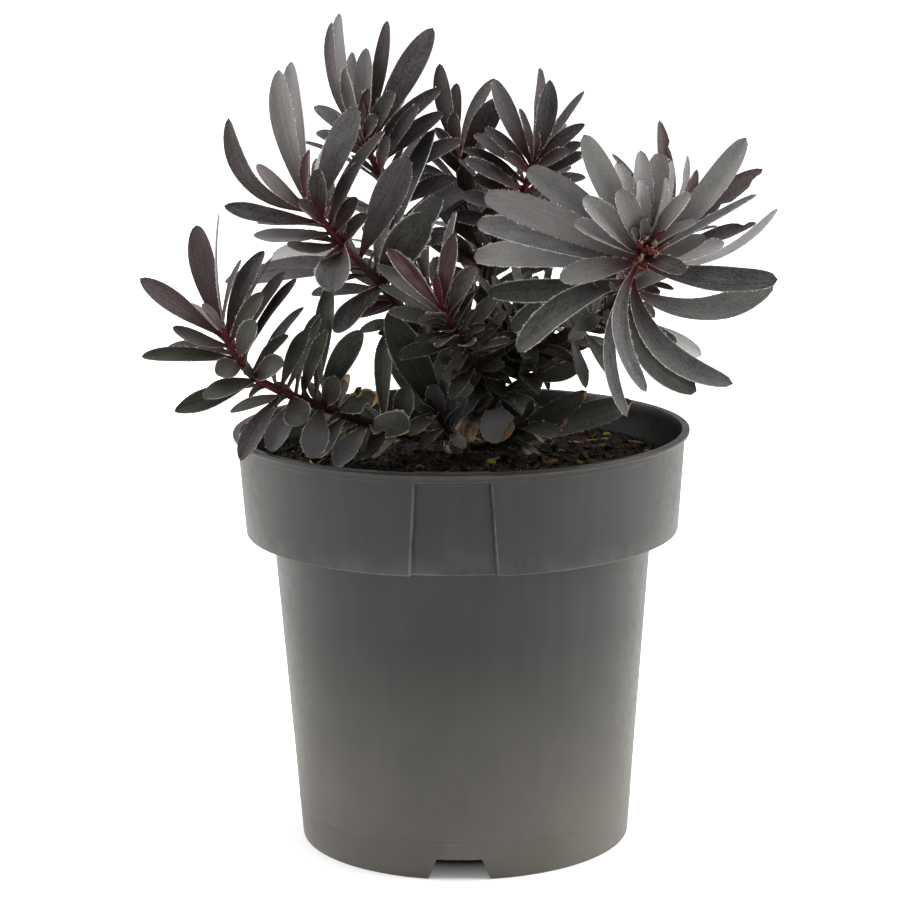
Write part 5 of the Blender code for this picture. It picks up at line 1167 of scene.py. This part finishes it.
def addBlade(shape, leaf, look, rng):
    # Lanceolate blade: half width sin(pi s^swell)^blunt, edges raised by a power of the way across,
    # a grooved midrib above and a keel below. Rings of ten points run along a quadratic rib.
    form = leafForm
    root, tip, _, _, width = leaf
    rows = look.get("rows", form["rows"])
    length = np.linalg.norm(tip - root)
    s = (1 - (1 - np.linspace(0, 1, rows + 1)) ** form["rowPower"])[:-1]
    rib, slopes, sides, normals = bladeRib(leaf, s[:, None])
    roll = math.radians(form["twist"]) * rng.uniform(-1, 1) * s[:, None] * (1 - form["untwist"] * s[:, None])
    turned = sides * np.cos(roll) + normals * np.sin(roll)
    normals = normals * np.cos(roll) - sides * np.sin(roll)
    blunt = look.get("blunt", rng.uniform(*form["blunt"]))
    half = width / 2 * np.sin(math.pi * s ** rng.uniform(*form["swell"])) ** blunt
    foot = form["rootHalf"] * (1 - smoothStep(0, form["rootReach"], s)) * min(1, width / form["fullWidth"])
    half = np.maximum(half, foot)
    u = np.array(form["across"], float)
    reach = np.outer(half, u)
    for side, spot, span, depth in look.get("bites", ()):
        eaten = depth * np.exp(-((s - spot) / span) ** 4) * rng.uniform(*form["ragged"], rows)
        reach[:, np.sign(u) == side] *= (1 - np.clip(eaten, 0, form["biteMost"]))[:, None]
    cup = look.get("cup", rng.uniform(*form["cup"]))
    wave = form["wave"] * rng.uniform(-1, 1)
    wave = wave * np.sin(math.tau * s * rng.uniform(*form["waves"]) + rng.uniform(*form["wavePhase"]))
    rise = (half * cup)[:, None] * np.abs(u) ** form["cupPower"]
    rise = rise + (half * wave)[:, None] * u ** 2 * np.sign(u)
    middleThick = form["thickness"] * (1 - form["thinning"] * s)[:, None]
    thick = form["rim"] + (middleThick - form["rim"]) * (1 - u ** 2)
    section = np.concatenate([reach, reach[:, ::-1]], axis=1)
    heights = np.concatenate([rise - form["groove"] * (u == 0), (rise - thick)[:, ::-1]], axis=1)
    verts = rib[:, None] + turned[:, None] * section[..., None] + normals[:, None] * heights[..., None]
    count = 2 * len(u)
    total = rows * count + 2
    ends = [0, 0]
    acrossAt = np.concatenate([np.tile(np.concatenate([u, u[::-1]]), rows), ends])
    alongAt = np.concatenate([np.repeat(s, count), [0, 1]])
    halfAt = np.concatenate([np.repeat(half, count), ends])
    below = np.concatenate([np.tile(np.repeat((0.0, 1.0), len(u)), rows), ends])
    seed = rng.uniform(0, 1)
    light, red, green, silver, _ = look["tint"]
    light = light + rng.uniform(-1, 1) * form["lightDraw"][0] * (form["lightDraw"][1] + light)
    red = max(0, red + rng.uniform(-1, 1) * form["redDraw"][0] * (form["redDraw"][1] + red))
    green = max(0, green + rng.uniform(-1, 1) * form["greenDraw"])
    redReach = look.get("baseReach", form["redReach"])
    atFoot = look.get("baseRed", 1) * np.exp(-(alongAt * length / redReach) ** form["redFade"])
    marks = [atFoot, drynessAt(look, acrossAt, alongAt), below, np.full(total, silver)]
    spots = [acrossAt * halfAt, alongAt * length, np.full(total, seed * form["seedSpan"]), np.ones(total)]
    shape.add(np.concatenate([verts.reshape(-1, 3), rib[:1], tip[None]]),
              *ringFaces(rows, count, rows * count, rows * count + 1),
              leafUV=np.stack([(acrossAt + 1) / 2, alongAt], axis=1),
              leafTint=np.tile((light, red, green, seed), (total, 1)),
              leafMark=np.stack(marks, axis=1), leafPlace=np.stack(spots, axis=1),
              leafOwn=np.tile(look.get("own", (0, 0, 0, 0)), (total, 1)))
    return s, verts[:, 0], verts[:, len(u) - 1], rib, normals, slopes


def marginHairs(blade, density, rng, tall=hairForm["length"]):
    # roots and tips of hairs at even random places along both margins, in clumps, leaning to the tip
    s, left, right, rib, normals, slopes = blade
    form = hairForm
    length = lengthsAlong(left)[-1]
    count = int(length * density)
    roots, tips = [], []
    for edge in (left, right):
        where = rng.uniform(form["first"], s[-1], count)
        spot, middle, slope, normal = (
            np.stack([np.interp(where, s, rows[:, axis]) for axis in range(3)], axis=1)
            for rows in (edge, rib, slopes, normals))
        outward = unit(spot - middle)
        ripple = np.sin(where * length * rng.uniform(*form["clumps"]) + rng.uniform(*leafForm["wavePhase"]))
        clump = form["clump"][0] + form["clump"][1] * ripple
        lean = outward * rng.uniform(*form["outward"], (count, 1))
        lean = lean + unit(slope) * rng.uniform(*form["forward"], (count, 1))
        lean = unit(lean + normal * rng.normal(*form["rise"], (count, 1)))
        roots.append(spot - outward * form["sunk"])
        tips.append(spot + lean * (tall * clump * rng.uniform(*form["spread"], count))[:, None])
    return np.concatenate(roots), np.concatenate(tips)


def addRound(shape, tube, spots, tint, own):
    # a stem or a bud, whose colour is all its own
    total = len(tube[0])
    shape.add(*tube, leafUV=np.full((total, 2), .5), leafTint=np.tile(tint, (total, 1)),
              leafMark=np.zeros((total, 4)), leafPlace=np.insert(spots, 3, 1, axis=1), leafOwn=own)


def addStem(shape, line, radii, seed, tipColour):
    # ribbed tube round the stem's middle, coloured from foot to tip
    rows, sides = len(line), stemForm["sides"]
    tube = ridgedTube(line, radii, sides, seed, stemForm["ridges"])
    along = np.concatenate([np.repeat(np.linspace(0, 1, rows), sides), [0, 1]])[:, None]
    share = smoothStep(*stemForm["shade"], along)
    colour = np.array(leafColour["oldStem"]) * (1 - share) + np.array(tipColour) * share
    turn = np.concatenate([np.tile(np.arange(sides), rows), [0, 0]])
    high = along[:, 0] * lengthsAlong(line)[-1]
    spots = np.stack([turn * .8, high, np.full(len(turn), seed * 3.1)], axis=1)
    addRound(shape, tube, spots, (.3, 0, 0, .5), np.insert(colour, 3, 1, axis=1))


def addBud(shape, centre, axis, length, radius, colour, seed):
    # egg form: radius sin(pi t^0.8)^0.7, widest towards the foot
    t = np.linspace(.02, .98, stemForm["budRows"])
    line = centre + np.outer(t * length, unit(axis))
    tube = sweptTube(line, radius * np.sin(math.pi * t ** .8) ** .7, stemForm["budSides"])
    addRound(shape, tube, tube[0], (.5, 0, 0, seed), np.tile((*colour, 1), (len(tube[0]), 1)))


def leafSkin():
    # suede leaf: streaks along the blade over grey, burgundy or olive, painted shade that darkens each blade
    # towards its foot, paler below, red at the foot, a hairy or red margin, a dark tip gland and dry tan
    # parts with a scorched border
    paint = newFinish("leafSkin", .58, .2)
    shade, times, remap = leafColour, paint.times, paint.remap
    marks, own = paint.attribute("leafMark"), paint.attribute("leafOwn")
    light, red, green = paint.channels(paint.attribute("leafTint")["Color"])
    atFoot, dry, below = paint.channels(marks["Color"])
    across, along, _ = paint.axes(paint.node("UVMap", uv_map="leafUV").outputs[0])
    at = paint.attribute("leafPlace")["Vector"]
    streak = paint.noise(paint.stretch(at, 1.5, .11, 1.0), 1.0, 4.0, .6)
    veins = paint.noise(paint.stretch(at, .8, .025, 1.0), 1.0, 2.0, .5)
    suede = paint.noise(paint.stretch(at, 3.0, 2.2, 1.0), 1.0, 4.0, .7)
    pebble = paint.noise(paint.stretch(at, 1.2, .8, 1.0), 1.0, 2.0, .5)
    patch = paint.noise(paint.stretch(at, .22, .1, 1.3), 1.0, 3.0, .55)
    tones = ((streak, .05), (suede, .07), (pebble, .06), (patch, .06))
    # lightness from the tint, partly own tone and partly painted light and shade, with noise
    share = paint.plus(light, *(remap(tone, .3, .7, -reach, reach) for tone, reach in tones))
    # painted shade: each blade darkens towards its foot, to a quarter of its lightness
    share = times(share, remap(along, .02, .55, .25, 1.1))
    off = paint.calculate("ABSOLUTE", paint.calculate("SUBTRACT", times(across, 2.0), 1.0))
    edge = times(remap(off, .9, .985, 0, .6), remap(suede, .35, .62, .35, 1.0))
    ragged = paint.plus(dry, remap(suede, .3, .7, -.15, .15))
    layers = (
        (times(green, remap(patch, .35, .6, .5, 1.0)), shade["olive"]),
        (times(below, remap(light, 0, 1, .03, .5)), shade["pale"]),
        (times(red, remap(paint.plus(veins, patch), .7, 1.25, .25, 1.0)), shade["burgundy"]),
        (remap(off, .1, .0, 0, .12), shade["pale"]),
        (atFoot, shade["crimson"]),
        (edge, paint.mix(marks["Alpha"], shade["redEdge"], shade["silver"])),
        (remap(along, .982, .995, 0, .9), shade["gland"]),
        (remap(ragged, .3, .42), shade["scorch"]),
        (remap(ragged, .5, .6), shade["tan"]),
        (own["Alpha"], paint.mix(remap(suede, .35, .7, 0, .5), own["Color"], shade["gland"])),
    )
    colour = paint.mix(share, shade["dark"], shade["light"])
    for share, over in layers:
        colour = paint.mix(share, colour, over)
    grain = paint.plus(times(suede, .5), pebble, times(streak, .4))
    paint.coat({"Base Color": colour, "Roughness": remap(suede, .3, .7, .5, .66), "Sheen Weight": .06,
                "Sheen Roughness": .45, "Normal": paint.bump(grain, .00035, .7)})
    return paint.material


def hairSilver():
    # pale hair with a slight change of tone from place to place
    paint = newFinish("hairSilver", .4, .5)
    tone = paint.remap(paint.noise(paint.spot(), 700.0, 3.0, .6), .35, .65)
    paint.coat({"Base Color": paint.mix(tone, leafColour["hairLow"], leafColour["hairHigh"])})
    return paint.material


def shootLines(shoot):
    # the shoot's whole curve, the leafy stem's middle as the CAD part has it, and a finer one for its tube
    curve = smoothPath(shoot["path"], curveSteps)
    whole = lengthsAlong(curve)[-1]
    start = shoot["bare"] + stemForm["start"]
    steps = max(3, int(round((whole - start) / stemForm["pathStep"])) + 1)
    line = smoothPath(cutLine(curve, start, whole, steps), stemForm["pathRows"])
    return curve, line, cutLine(curve, start, whole, stemForm["rows"])


def fillLine(shape, line, filler, tint, rng, hairs):
    # darker leaves, partly as painted shade of the plant's middle, greener, by the golden angle, open low
    # down and steeper on top
    count, long, first, last = filler
    form = fillForm
    light, red, green, silver, hair = np.array(tint) * form["tint"]
    look = {"tint": (light, red, green + form["greener"], silver, hair), "rows": form["rows"],
            "baseRed": form["baseRed"]}
    slopes = unit(np.gradient(line, axis=0))
    for number, along in enumerate(np.linspace(first, last, count)):
        at = int(along * (len(line) - 1))
        across = unit(np.cross(slopes[at], offStem))
        turn = math.radians(number * goldenAngle + rng.uniform(*form["turn"]))
        spread = form["spread"] - form["spreadDrop"] * along + rng.uniform(*form["spreadDraw"])
        chord, normal = leaning(slopes[at], across, turn, math.radians(spread))
        length = long * rng.uniform(*form["length"])
        arch = rng.uniform(*form["arch"]) * normal * length
        width = length * rng.uniform(*form["slim"]) + form["width"]
        blade = addBlade(shape, (line[at], line[at] + chord * length, normal, arch, width), look, rng)
        hairs.append(marginHairs(blade, hair, rng))


def addCentre(shape, centre, axis, kind, rng, hairs):
    # a ring of small narrow red bracts with hairy tips round a few egg-shaped buds
    form = bractForm
    across = unit(np.cross(axis, offStem))
    for number in range(kind["bracts"]):
        turn = number * math.radians(goldenAngle)
        chord, normal = leaning(axis, across, turn, math.radians(rng.uniform(*kind["spread"])))
        length = rng.uniform(*kind["length"])
        foot = centre - axis * rng.uniform(0, kind["depth"])
        arch = form["arch"] * normal * length
        leaf = (foot, foot + chord * length, normal, arch, rng.uniform(*kind["width"]))
        colour = np.array(leafColour["bract"]) * rng.uniform(*form["strength"])
        look = {"tint": form["tint"], "own": (*colour, form["own"]), "rows": form["rows"]}
        blade = addBlade(shape, leaf, look, rng)
        hairs.append(marginHairs(blade, form["hairs"], rng, form["hairLength"]))
    count = form["tuft"]
    for dx, dz, length, radius, colour in kind["buds"]:
        spot = centre + np.array([dx, form["budForward"], dz])
        addBud(shape, spot, axis + form["budLean"] * np.array([dx, 0, dz]), length, radius, colour, .5)
        roots = spot + axis * length * .8 + rng.normal(0, radius * .4, (count, 3))
        lean = unit(axis + rng.normal(0, .5, (count, 3)))
        hairs.append((roots, roots + lean * rng.uniform(*form["tuftLength"], (count, 1))))


def finishLeaves(shape, hairs, name, *nodes):
    # kept inside the CAD box, with the hairs as one more piece
    low, high = (np.array(corner) / mm for corner in cadBox)
    shape.verts = [np.clip(verts, low + .02, high - .02) for verts in shape.verts]
    place(shape.build("leaves_" + name, skin, leafForm["sharpAngle"]), "foliage", *nodes)
    roots, tips = (np.concatenate(ends) for ends in zip(*hairs))
    fringe = Shape()
    fringe.add(*spikes(np.clip(roots, low + .1, high - .1), np.clip(tips, low + .05, high - .05),
                       np.full(len(roots), hairForm["width"])))
    place(fringe.build("hairs_" + name, silverHair), "foliage")


def tintOf(name, number):
    # the shoot's tint, a leaf's own one, or the shoot's with the leaf's own lightness
    own = tints.get(name, {}).get(number, looks[name])
    return own if isinstance(own, tuple) else (own, *looks[name][1:])


def makeShoot(order, name, shoot):
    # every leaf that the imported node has, with hairs on its margins, and the stem under them
    rng = np.random.default_rng(500 + order)
    points = packedPoints(name)
    curve, line, fine = shootLines(shoot)
    leaves = [settled(lambda *moved: picturedLeaf(row, line, *moved), points) for row in shoot["leaves"]]
    draws = np.random.default_rng(leafForm["seed"] + order).uniform(-1, 1, (shoot["spiral"], 4))
    leaves += [settled(lambda *moved: spiralLeaf(number, shoot, line, own, *moved), points)
               for number, own in enumerate(draws)]
    redAtFoot = footRed.get(name, 1)
    shape, hairs = Shape(), []
    for number, leaf in enumerate(leaves):
        if leaf is None:
            continue
        look = {"tint": tintOf(name, number), "blunt": rng.uniform(*bluntness.get(name, commonBluntness)),
                "baseRed": redAtFoot, **forms.get(name, {}).get(number, {})}
        blade = addBlade(shape, leaf, look, rng)
        hairs.append(marginHairs(blade, look["tint"][4], rng, look.get("hairLength", hairForm["length"])))
    if name in fillers:
        fillLine(shape, curve, fillers[name], looks[name], rng, hairs)
    thick, thin = shoot["radius"]
    tipColour = leafColour["youngStem" if redAtFoot > stemForm["redFrom"] else "oldStem"]
    axis = unit(fine[-1] - fine[-3])
    addStem(shape, fine, np.linspace(thick, thin, len(fine)), order, tipColour)
    addBud(shape, fine[-1], axis, stemForm["budLength"], thin * stemForm["budWide"], tipColour, .3)
    if name in centres:
        addCentre(shape, fine[-1], axis, centres[name], rng, hairs)
    found = sum(leaf is not None for leaf in leaves)
    print(name, found, "of", len(leaves), "leaves")
    finishLeaves(shape, hairs, name.removeprefix("shoot_"), name)


def makeInnerLeaves():
    # leaves on the limbs, between the shoots
    rng = np.random.default_rng(fillForm["seed"])
    shape, hairs = Shape(), []
    for name, (points, _, _) in wood["limbs"].items():
        fillLine(shape, smoothPath(points, curveSteps), fillers[name], fillForm["limbTint"], rng, hairs)
    finishLeaves(shape, hairs, "inner")


print("shoots")
skin, silverHair = leafSkin(), hairSilver()
for order, (name, shoot) in enumerate(shoots.items()):
    makeShoot(order, name, shoot)
makeInnerLeaves()


# Floor, camera and light

studio = {
    "floorRings": (100, 300, 900, 3000, 40000), "floorSides": 96, "floor": (.86, .86, .86),
    "bounce": (.78, .77, .74), "whiteFrom": .05, "whiteTo": .15, "white": (1, 1, 1),
    "cameraAt": (.05033698, -1.29343053, .4358), "lens": 120.34, "sensor": 36,
    "right": (.99911809, .04047535, -.01117116), "up": (.00287213, .19954957, .97988352),
    "backward": (.04189033, -.97905144, .19925733),
    "front": .2, "around": .58, "low": .75, "high": 1.0, "lightsMeet": (0, 0, .2),
    "boxes": {"left": ((-1.5, .15, 1.0), 1.1, 28), "right": ((1.5, .05, 1.0), 1.1, 38),
              "top": ((.1, .1, 1.9), 1.3, 18)},
}


def makeFloor():
    # pale matt floor whose far part glows to plain white; other rays meet it as grey
    turn = np.arange(studio["floorSides"]) * math.tau / studio["floorSides"]
    rings = np.array(studio["floorRings"])[:, None, None] * np.insert(around(turn), 2, 0, axis=1)
    count = len(studio["floorRings"])
    flat = np.concatenate([rings.reshape(-1, 3), [(0, 0, 0)]])
    shape = Shape()
    shape.add(flat, gridQuads(count, len(turn)), fanTriangles(np.arange(len(turn)), len(flat) - 1, True))
    paint = newFinish("floorWhite", .7, .2)
    reach = paint.node("VectorMath", {0: paint.spot()}, operation="LENGTH").outputs["Value"]
    seen = paint.node("LightPath").outputs["Is Camera Ray"]
    glow = paint.times(paint.remap(reach, studio["whiteFrom"], studio["whiteTo"]), seen)
    paint.coat({"Base Color": paint.mix(seen, studio["bounce"], studio["floor"]),
                "Emission Color": studio["white"], "Emission Strength": glow})
    floor = shape.build("floor", paint.material)
    floor.data.flip_normals()
    return floor


def makeWorld():
    # white surroundings, dimmer towards the viewer in what they light and plain white where they are seen
    world = bpy.data.worlds.new("studioWorld")
    bpy.context.scene.world = world
    world.use_nodes = True
    paint = Finish(world.node_tree)
    _, depth, height = paint.axes(paint.node("TexCoord").outputs["Generated"])
    level = paint.times(paint.remap(depth, -.85, -.2, studio["front"], studio["around"]),
                        paint.remap(height, -.1, .8, studio["low"], studio["high"]))
    seen = paint.node("LightPath").outputs["Is Camera Ray"]
    background = world.node_tree.nodes["Background"]
    paint.put(studio["white"], background.inputs["Color"])
    paint.put(paint.calculate("MAXIMUM", level, seen), background.inputs["Strength"])


def makeLights():
    # square lights that face the plant: place, side and strength
    for name, (spot, size, power) in studio["boxes"].items():
        light = bpy.data.lights.new("softbox_" + name, "AREA")
        light.size = size
        light.energy = power
        obj = bpy.data.objects.new("softbox_" + name, light)
        obj.location = spot
        obj.rotation_euler = (Vector(studio["lightsMeet"]) - Vector(spot)).to_track_quat("-Z", "Y").to_euler()
        bpy.context.scene.collection.objects.link(obj)


def makeCamera():
    # the photo's camera, from its place and its three axes
    camera = bpy.data.cameras.new("camera")
    camera.lens = studio["lens"]
    camera.sensor_width = studio["sensor"]
    obj = bpy.data.objects.new("camera", camera)
    turn = Matrix([studio["right"], studio["up"], studio["backward"]]).transposed().to_4x4()
    obj.matrix_world = Matrix.Translation(studio["cameraAt"]) @ turn
    bpy.context.scene.collection.objects.link(obj)
    bpy.context.scene.camera = obj


print("stage")
makeFloor()
makeWorld()
makeLights()
makeCamera()
bpy.context.scene.view_settings.view_transform = "Standard"
